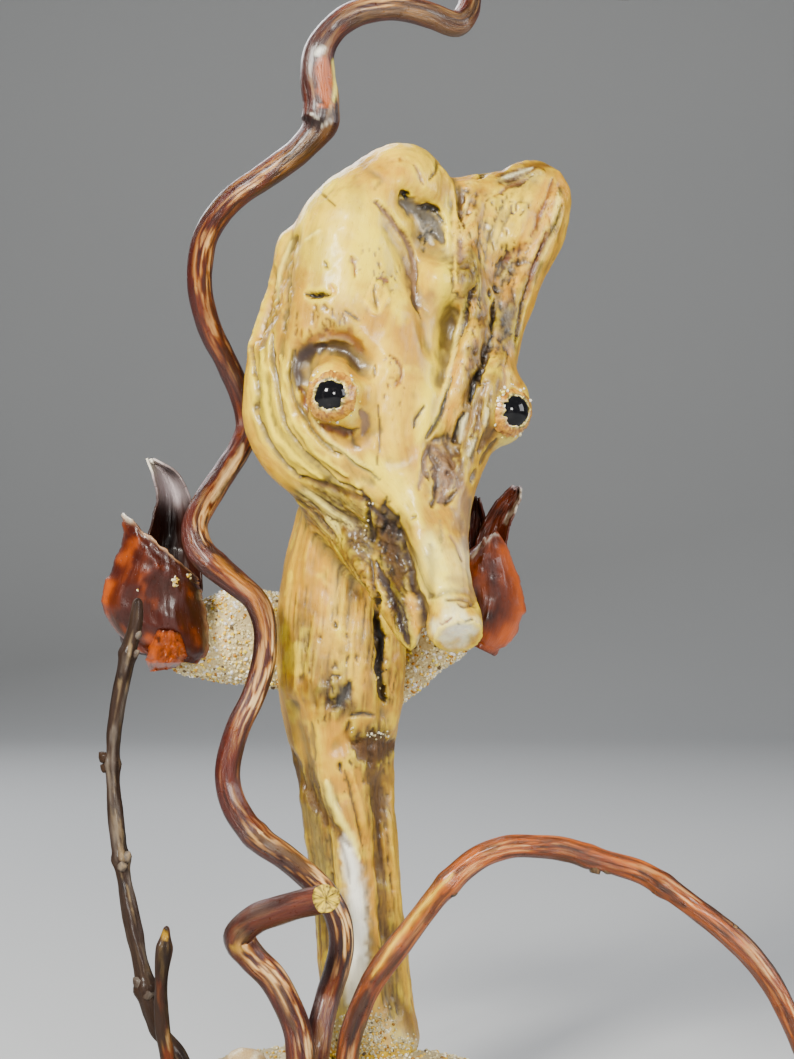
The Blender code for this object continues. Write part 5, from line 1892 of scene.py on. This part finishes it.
    def build(self) -> bpy.types.Object:
        """Makes the pod.

        Returns:
            The piece.
        """
        shape = Shape()
        self.cup(shape)
        for bract in self.bracts:
            self.leaf(shape, bract)
        made = shape.build(f"{self.node}_husk")
        apply_modifier(made, "SOLIDIFY", thickness=self.wall, offset=-1, use_even_offset=False)
        finish = FibreFinish("varnished_husk", 0.9, 0.12, 0.5, 0.0003, 0.25, 0.38, 0.3)
        place_piece(made, finish.material(), "pod_husk", self.node)
        return made


LEFT_LEAVES: tuple[Bract, ...] = (
    Bract(
        (
            (140, 585, 200, 600), (146, 560, 200, 572), (150, 535, 197, 548), (155, 515, 194, 523),
            (158, 497, 190, 503), (156, 482, 183, 484), (152, 469, 173, 471), (148, 459, 154, 461),
        ),
        -9.5, Ink.HUSK_DARK, Ink.HUSK_DARK, Ink.SILVER,
        (
            Mark((152, 463, 163, 478, 176, 496), 11, 0, Ink.HUSK_GREY, 0.95),
            Mark((149, 458, 153, 472), 4, 0, Ink.SILVER, 0.9),
            Mark((168, 520, 170, 560), 14, 0, Ink.BLACK, 0.7),
        ),
        1,
    ),
    Bract(
        (
            (140, 653, 196, 664), (113, 628, 209, 650), (102, 602, 208, 626), (109, 576, 204, 604),
            (119, 549, 201, 590), (123, 530, 199, 582), (121, 512, 198, 577),
        ),
        11.0, Ink.HUSK, Ink.HUSK_EDGE, Ink.HUSK_PALE,
        (
            Mark((105, 600, 112, 580, 122, 552, 135, 530), 9, 0, Ink.HUSK, 0.95),
            Mark((103, 600, 108, 584), 5.5, 0, Ink.HUSK_EDGE, 0.95),
            Mark((120, 560, 136, 542), 5, 0, Ink.HUSK_EDGE, 0.5),
            Mark((112, 618, 122, 634), 5, 0, Ink.UMBER, 0.7),
            Mark((146, 622, 166, 636, 186, 644), 10, 0, Ink.HUSK, 0.85),
            Mark((150, 640, 162, 652, 178, 652), 5, 0, Ink.HUSK_EDGE, 0.85),
            Mark((190, 610, 204, 640), 5, 0, Ink.HUSK_DARK),
            Mark((121, 511, 130, 517), 4, 0, Ink.SILVER, 0.95),
        ),
        2,
    ),
    Bract(
        ((150, 672, 176, 668), (146, 660, 186, 660), (148, 645, 188, 648), (152, 630, 184, 634)),
        12.5, Ink.HUSK_EDGE, Ink.HUSK_EDGE, Ink.HUSK, (), 3,
    ),
)

RIGHT_LEAVES: tuple[Bract, ...] = (
    Bract(
        (
            (440, 590, 490, 600), (446, 560, 492, 566), (456, 530, 487, 540), (464, 512, 484, 520),
            (471, 496, 478, 499),
        ),
        -8.5, Ink.HUSK, Ink.HUSK, Ink.HUSK_DARK, (), 4,
    ),
    Bract(
        (
            (470, 570, 508, 572), (476, 548, 505, 548), (484, 525, 508, 527), (494, 508, 514, 511),
            (505, 495, 519, 499), (514, 487, 520, 488),
        ),
        -3.0, Ink.HUSK_MAUVE, Ink.HUSK, Ink.HUSK_GREY,
        (Mark((520, 490, 515, 508, 505, 522), 1.6, 0, Ink.SILVER),),
        5,
    ),
    Bract(
        (
            (462, 640, 494, 656), (450, 624, 512, 641), (445, 602, 525, 612), (446, 582, 523, 590),
            (452, 566, 516, 568), (462, 557, 507, 546), (478, 545, 497, 531),
        ),
        10.5, Ink.HUSK_MAUVE, Ink.HUSK_EDGE, Ink.HUSK_MAUVE,
        (
            Mark((508, 552, 520, 578, 524, 600, 521, 622, 508, 642), 9, 0, Ink.HUSK_EDGE, 1),
            Mark((484, 640, 498, 646, 508, 632), 8, 0, Ink.HUSK_EDGE, 0.9),
            Mark((472, 556, 486, 540, 496, 534), 2.2, 0, Ink.SILVER, 0.5),
            Mark((476, 600, 478, 640), 8, 0, Ink.HUSK_DARK, 0.6),
            Mark((488, 566, 496, 590), 8, 0, Ink.HUSK, 0.5),
        ),
        6,
    ),
)


def seed_pods() -> list[SeedPod]:
    """The pod at the left and the smaller one at the right.

    Returns:
        The pods, not yet built.
    """
    return [
        SeedPod("seed_pod_left", (-0.04385, 0.034, 0.13818), -1, 1.0, LEFT_LEAVES),
        SeedPod("seed_pod_right", (0.03985, 0.034, 0.13859), 1, 0.9, RIGHT_LEAVES),
    ]


@dataclass
class Grit:
    """Loose grains of sand, each a small rough ball."""

    shares: tuple[tuple[Ink, float], ...] = (
        (Ink.SAND, 0.55),
        (Ink.SAND_PALE, 0.2),
        (Ink.SAND_YELLOW, 0.16),
        (Ink.SAND_AMBER, 0.06),
        (Ink.SAND_DARK, 0.03),
    )
    small: float = 0.65
    large: float = 1.3

    def ball(self) -> tuple[Array, Array]:
        """Makes one round grain.

        Returns:
            Its corners and its twenty faces.
        """
        bm = bmesh.new()
        bmesh.ops.create_icosphere(bm, subdivisions=1, radius=0.5)
        corners = np.array([vert.co for vert in bm.verts])
        faces = np.array([[vert.index for vert in face.verts] for face in bm.faces])
        bm.free()
        return corners, faces

    def strew(self, shape: Shape, places: Array, normals: Array, draw: np.random.Generator) -> None:
        """Adds one grain at each place, sunk a little under the surface.

        Args:
            shape: What the grains are added to.
            places: Where they lie.
            normals: Which way is out there.
            draw: Where random numbers come from.
        """
        corners, faces = self.ball()
        count = len(places)
        size = draw.uniform(self.small, self.large, (count, 1, 1)) * MM
        stretch = draw.uniform(0.65, 1.15, (count, 1, 3))
        jitter = draw.uniform(0.82, 1.15, (count, len(corners), 1))
        quaternion = draw.normal(size=(count, 4))
        quaternion /= np.linalg.norm(quaternion, axis=1)[:, None]
        w, x, y, z = quaternion.T
        turn = np.empty((count, 3, 3))
        turn[:, 0] = np.column_stack([1 - 2 * (y * y + z * z), 2 * (x * y - w * z), 2 * (x * z + w * y)])
        turn[:, 1] = np.column_stack([2 * (x * y + w * z), 1 - 2 * (x * x + z * z), 2 * (y * z - w * x)])
        turn[:, 2] = np.column_stack([2 * (x * z - w * y), 2 * (y * z + w * x), 1 - 2 * (x * x + y * y)])
        grains = np.einsum("nij,nkj->nki", turn, corners * stretch * jitter * size)
        sunk = draw.uniform(-0.15, 0.2, (count, 1)) * size[:, 0]
        grains += (places + normals * sunk)[:, None]
        grains[:, :, 2] = np.maximum(grains[:, :, 2], FLOOR_GAP)
        inks = np.array([ink.linear for ink, _ in self.shares])
        odds = np.array([share for _, share in self.shares])
        picked = inks[draw.choice(len(inks), count, p=odds / odds.sum())]
        picked = picked * draw.uniform(0.75, 1.15, (count, 1))
        flat = grains.reshape(-1, 3)
        index = (faces[None] + (np.arange(count) * len(corners))[:, None, None]).reshape(-1, 3)
        shape.add(flat, index.tolist(), np.repeat(picked, len(corners), axis=0), flat / MM)


def scattered(obj: bpy.types.Object, count: int, draw: np.random.Generator) -> tuple[Array, Array]:
    """Random places spread evenly over an object's faces, with the normals there.

    Args:
        obj: The object.
        count: How many places.
        draw: Where random numbers come from.

    Returns:
        The places and the normals, both (count, 3) arrays.
    """
    mesh = obj.data
    mesh.calc_loop_triangles()
    triangles = read(mesh.loop_triangles, "vertices", 3, np.int32)
    area = read(mesh.loop_triangles, "area", 1)
    normal = read(mesh.loop_triangles, "normal", 3)
    co = read(mesh.vertices, "co", 3)
    picked = draw.choice(len(triangles), count, p=area / area.sum())
    u, v = draw.uniform(size=(2, count, 1))
    over = (u + v) > 1
    u, v = np.where(over, 1 - u, u), np.where(over, 1 - v, v)
    a, b, c = (co[triangles[picked, k]] for k in range(3))
    return a + (b - a) * u + (c - a) * v, normal[picked]


@dataclass
class SandPiece:
    """A packed lump of glued sand: its form, a little slimmer, under a crust of grains."""

    node: str
    name: str
    count: int
    voxel: float = 1.4 * MM
    inset: float = 0.45
    dents: float = 0.35
    bare_under: float = 0.5 * MM
    # How much brighter its colours are painted, as painted light
    shine: float = 1.0
    grit: Grit = field(default_factory=Grit)

    def build(self, draw: np.random.Generator) -> bpy.types.Object:
        """Makes the lump and its crust as one piece.

        Args:
            draw: Where random numbers come from.

        Returns:
            The piece.
        """
        core = merged_copy(self.node, f"{self.name}_core")
        apply_modifier(core, "REMESH", mode="VOXEL", voxel_size=self.voxel)
        apply_modifier(core, "SMOOTH", factor=0.5, iterations=3)
        skin = Skin(core.data, Ink.SAND.linear)
        skin.shift(layered_noise(skin.co / MM * 0.4, 3, 61) * self.dents - self.inset)
        co = skin.co.copy()
        co[:, 2] = np.maximum(co[:, 2], FLOOR_GAP)
        places, normals = scattered(core, self.count, draw)
        above = places[:, 2] > self.bare_under
        shape = Shape()
        faces = [list(face.vertices) for face in core.data.polygons]
        dim = Ink.SAND.linear * 0.6 + Ink.SAND_AMBER.linear * 0.2
        shape.add(co, faces, dim, co / MM)
        self.grit.strew(shape, places[above], normals[above], draw)
        bpy.data.objects.remove(core)
        # Painted light: every colour brightened by shine
        shape.tints = [np.clip(tint * self.shine, 0, 1) for tint in shape.tints]
        made = shape.build(self.name)
        place_piece(made, GrainFinish(f"{self.name}_sand").material(), "sand_grit", self.node)
        return made


@dataclass
class Crust:
    """Grains that stick to the driftwood: up its foot, and in the recess of the neck."""

    # Middle and half size in pixels, then how many grains
    drifts: tuple[tuple[float, float, float, float, int], ...] = (
        (372, 1036, 18, 22, 420),
        (348, 1040, 20, 16, 260),
        (402, 1044, 16, 9, 130),
        (376, 735, 16, 3, 16),
        (353, 729, 3, 3, 5),
        (381, 680, 7, 26, 8),
        (368, 520, 5, 20, 8),
        (176, 582, 3, 5, 26),
        (189, 576, 2, 2, 8),
        (138, 590, 1, 1, 3),
        (470, 650, 2, 1, 4),
    )

    def build(self, carriers: Sequence[bpy.types.Object], draw: np.random.Generator) -> bpy.types.Object:
        """Makes the grains where the photograph's camera sees the wood and the pods.

        Args:
            carriers: The dressed pieces that grains stick to.
            draw: Where random numbers come from.

        Returns:
            The piece.
        """
        depsgraph = bpy.context.evaluated_depsgraph_get()
        trees = [BVHTree.FromObject(carrier, depsgraph) for carrier in carriers]
        eye = Vector(VIEW.eye)
        places, normals = [], []
        for x, y, wide, tall, count in self.drifts:
            for _ in range(count):
                pixel = (x + draw.normal() * wide * 0.6, y + draw.normal() * tall * 0.6)
                hits = [tree.ray_cast(eye, VIEW.place(pixel, 0.0) - eye) for tree in trees]
                hits = [hit for hit in hits if hit[0]]
                if hits:
                    place, normal, _, _ = min(hits, key=lambda hit: hit[3])
                    places.append(place)
                    normals.append(normal)
        shape = Shape()
        Grit(small=0.45, large=1.0).strew(shape, np.array(places), np.array(normals), draw)
        made = shape.build("sand_on_driftwood")
        place_piece(made, GrainFinish("stuck_sand").material(), "sand_grit")
        return made


@dataclass
class GlassEye:
    """A black glass eye and the ragged pale flecks around it."""

    node: str
    look: tuple[float, float, float]
    flecks: int = 60
    opening: float = 0.82
    # Share of the way out and distance from the middle, of each ring of the rim
    profile: tuple[tuple[float, float], ...] = (
        (0.0, 0.995), (0.02, 1.03), (0.08, 1.07), (0.2, 1.1),
        (0.36, 1.13), (0.55, 1.17), (0.75, 1.22), (1.0, 1.28),
    )
    around: int = 96

    def middle_and_radius(self) -> tuple[Vector, float]:
        """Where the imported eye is, and how large."""
        low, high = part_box(self.node)
        return (low + high) / 2, (high - low).x / 2

    def ball(self) -> bpy.types.Object:
        """Makes the glass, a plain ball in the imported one's place.

        Returns:
            The piece.
        """
        middle, radius = self.middle_and_radius()
        deselect_all()
        bpy.ops.mesh.primitive_uv_sphere_add(segments=48, ring_count=24, radius=radius, location=middle)
        made = bpy.context.object
        made.name = made.data.name = f"{self.node}_glass"
        bpy.ops.object.transform_apply(location=True, rotation=True, scale=True)
        made.data.shade_smooth()
        place_piece(made, GlassFinish().material(), "black_glass", self.node)
        return made

    def collar(self, shape: Shape, turn_shift: int) -> None:
        """Adds the lumpy pale rim of filler that laps over the glass and leaves a ragged round opening.

        Args:
            shape: What it is added to.
            turn_shift: Which of the ragged edges it has.
        """
        middle, radius = self.middle_and_radius()
        look = np.asarray(Vector(self.look).normalized())
        across = np.cross(look, (0, 0, 1))
        across /= np.linalg.norm(across)
        up = np.cross(across, look)
        turn = np.linspace(0, math.tau, self.around, endpoint=False)
        round_ = np.column_stack([np.cos(turn), np.sin(turn)])
        ragged = layered_noise(np.column_stack([round_ * 3.2, turn * 0 + turn_shift]), 3, 81)
        rows, places = [], []
        for share, out in self.profile:
            polar = self.opening * (1 + 0.17 * ragged) * (1 - share) + 1.5 * share
            spots = np.column_stack([round_ * 3 * (1 + share), np.full(self.around, share * 4 + turn_shift)])
            lumps = 1 + layered_noise(spots, 3, 82) * 0.05 * min(1, share * 8)
            reach = radius * out * lumps
            spoke = round_[:, :1] * across + round_[:, 1:] * up
            aside, ahead = reach * np.sin(polar), reach * np.cos(polar)
            rows.append(np.asarray(middle) + spoke * aside[:, None] + look * ahead[:, None])
            places.append(spots)
        corners, spots = np.concatenate(rows), np.concatenate(places)
        faces = [face[::-1] for face in hoops(len(rows), self.around)]
        mottle = layered_noise(spots * 1.6, 3, 83)[:, None]
        tint = Ink.PALE.linear + (Ink.WHITE.linear - Ink.PALE.linear) * np.clip(mottle * 2, 0, 1)
        tint += (Ink.UMBER.linear - tint) * np.clip(-mottle * 3 - 0.3, 0, 0.9)
        outer = np.repeat(np.linspace(0, 1, len(rows)) ** 2, self.around)[:, None]
        tint += (Ink.ORANGE.linear - tint) * np.clip(outer * 5 - 0.1 + mottle * 0.9, 0, 0.95)
        tint += (Ink.RUST.linear - tint) * np.clip(outer * 8, 0, 1) * np.clip(mottle * 3, 0, 0.7)
        shape.add(corners, faces, tint, spots)

    def fringe(self, shape: Shape, wood: BVHTree, draw: np.random.Generator) -> None:
        """Adds the flecks, which lie on the wood around the glass and lap over its edge.

        Args:
            shape: What they are added to.
            wood: The driftwood's faces.
            draw: Where random numbers come from.
        """
        middle, radius = self.middle_and_radius()
        look = Vector(self.look).normalized()
        across = look.cross(Vector((0, 0, 1))).normalized()
        up = across.cross(look)
        places, normals = [], []
        for _ in range(self.flecks):
            angle = draw.uniform(0, math.tau)
            out = radius * (1.0 + 0.45 * draw.uniform() ** 1.5)
            spoke = across * math.cos(angle) + up * math.sin(angle)
            start = middle + spoke * out + look * 0.02
            hit, normal, _, _ = wood.ray_cast(start, -look)
            if hit and (hit - middle).length < radius * 2:
                places.append(hit)
                normals.append(normal)
        pale = Grit(((Ink.WHITE, 0.4), (Ink.PALE, 0.35), (Ink.BONE, 0.25)), 0.5, 1.25)
        pale.strew(shape, np.array(places), np.array(normals), draw)


def eyes(wood: bpy.types.Object, draw: np.random.Generator) -> None:
    """Sets both glass eyes and their fringe.

    Args:
        wood: The dressed driftwood.
        draw: Where random numbers come from.
    """
    tree = BVHTree.FromObject(wood, bpy.context.evaluated_depsgraph_get())
    shape = Shape()
    pair = (GlassEye("eye_left", (-0.16, -0.98, 0.02)), GlassEye("eye_right", (0.52, -0.85, 0.0)))
    for number, eye in enumerate(pair):
        eye.ball()
        eye.collar(shape, 7 * number)
        eye.fringe(shape, tree, draw)
    fringe = shape.build("eye_fringes")
    place_piece(fringe, GrainFinish("pale_flecks", 1800.0, 0.0001, 0.8, 0.4).material(), "driftwood")


@dataclass
class Pebble:
    """A worn pebble bedded in the sand."""

    node: str = "pebble"
    voxel: float = 0.5 * MM
    smoothing: int = 10
    dents: float = 0.35

    def build(self) -> bpy.types.Object:
        """Makes the pebble.

        Returns:
            The piece.
        """
        made = merged_copy(self.node, "pebble_stone")
        apply_modifier(made, "REMESH", mode="VOXEL", voxel_size=self.voxel)
        apply_modifier(made, "SMOOTH", factor=0.5, iterations=self.smoothing)
        skin = Skin(made.data, Ink.STONE.linear)
        skin.shift(layered_noise(skin.co / MM * 0.22, 4, 71) * self.dents)
        mottle = layered_noise(skin.co / MM * 0.5, 4, 72)
        skin.blend(Ink.SAND_DARK, mottle - 0.1, 0.7)
        skin.blend(Ink.SAND_PALE, -mottle - 0.2, 0.7)
        skin.store()
        made.data.shade_smooth()
        finish = GrainFinish("worn_pebble", 2200.0, 0.0002, 0.3, 0.5)
        place_piece(made, finish.material(), "pebble_stone", self.node)
        return made


@dataclass
class Studio:
    """A pale floor that rises into a backdrop, soft lights and the camera."""

    reach: float = 3.0
    depth: float = 1.6
    height: float = 2.5
    bend: float = 0.6
    near: float = 1e-4
    aim: tuple[float, float, float] = (0.015, 0.0, 0.16)
    sky: tuple[float, float, float, float] = (0.9, 0.93, 1.0, 1.0)
    sky_strength: float = 0.16
    # Name, place, size and power in watts, then colour
    lamps: tuple[tuple[str, tuple, float, float, tuple], ...] = (
        ("key_light", (-0.30, -0.46, 0.50), 0.15, 9.6, (1.0, 0.98, 0.90)),
        ("front_light", (0.26, -1.05, 0.42), 0.22, 9.0, (1.0, 0.98, 0.93)),
        ("side_light", (0.75, -0.15, 0.40), 0.4, 5.0, (0.97, 0.98, 1.0)),
        ("back_light", (-0.3, 0.7, 0.7), 0.5, 7.0, (0.95, 0.97, 1.0)),
    )

    def floor(self) -> None:
        """The floor and backdrop as one curved sheet."""
        deselect_all()
        bpy.ops.mesh.primitive_plane_add(size=2 * self.reach, location=(0, self.depth - self.reach, 0))
        made = bpy.context.object
        made.name = made.data.name = "studio_floor"
        bpy.ops.object.transform_apply(location=True, rotation=True, scale=True)
        bpy.ops.object.mode_set(mode="EDIT")
        bpy.ops.mesh.select_mode(type="EDGE")
        bpy.ops.mesh.select_all(action="DESELECT")
        bm = bmesh.from_edit_mesh(made.data)
        for edge in bm.edges:
            edge.select_set(all(vert.co.y > self.depth - self.near for vert in edge.verts))
        bmesh.update_edit_mesh(made.data)
        bpy.ops.mesh.extrude_region_move(TRANSFORM_OT_translate={"value": (0, 0, self.height)})
        bpy.ops.mesh.select_all(action="DESELECT")
        bm = bmesh.from_edit_mesh(made.data)
        for edge in bm.edges:
            low = max(vert.co.z for vert in edge.verts) < self.near
            edge.select_set(low and all(vert.co.y > self.depth - self.near for vert in edge.verts))
        bmesh.update_edit_mesh(made.data)
        bpy.ops.mesh.bevel(offset=self.bend, segments=24)
        bpy.ops.object.mode_set(mode="OBJECT")
        made.data.shade_smooth()
        made.data.materials.append(FloorFinish().material())

    def light(
        self, name: str, place: Sequence[float], size: float, power: float, colour: Sequence[float]
    ) -> None:
        """Adds a square soft light that points at the head.

        Args:
            name: Its name.
            place: Where it hangs.
            size: The length of its side.
            power: Its power in watts.
            colour: Its colour.
        """
        data = bpy.data.lights.new(name, "AREA")
        data.size = size
        data.energy = power
        data.color = colour
        made = bpy.data.objects.new(name, data)
        made.location = place
        aim = Vector(self.aim) - Vector(place)
        made.rotation_euler = aim.to_track_quat("-Z", "Y").to_euler()
        bpy.context.scene.collection.objects.link(made)

    def build(self) -> None:
        """Sets up the floor, the lights, the world and the camera."""
        self.floor()
        for lamp in self.lamps:
            self.light(*lamp)
        world = bpy.data.worlds.new("studio_world")
        world.use_nodes = True
        background = world.node_tree.nodes["Background"]
        background.inputs["Color"].default_value = self.sky
        background.inputs["Strength"].default_value = self.sky_strength
        bpy.context.scene.world = world
        VIEW.camera()


def main() -> None:
    """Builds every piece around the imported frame."""
    logging.basicConfig(level=logging.INFO, format="%(message)s")
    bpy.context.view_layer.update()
    draw = np.random.default_rng(SEED)
    Studio().build()
    wood = Driftwood().build(draw)
    eyes(wood, draw)
    for stem in willow_stems():
        stem.build()
    pods = [pod.build() for pod in seed_pods()]
    # The ledge's grit is painted brighter, as painted light against the head's shadow
    SandPiece("grit_ledge", "glued_grit", 7000, shine=1.6).build(draw)
    SandPiece("sand_base", "sand_mound", 8800).build(draw)
    Crust().build([wood, *pods], draw)
    Pebble().build()


if __name__ == "__main__":
    main()
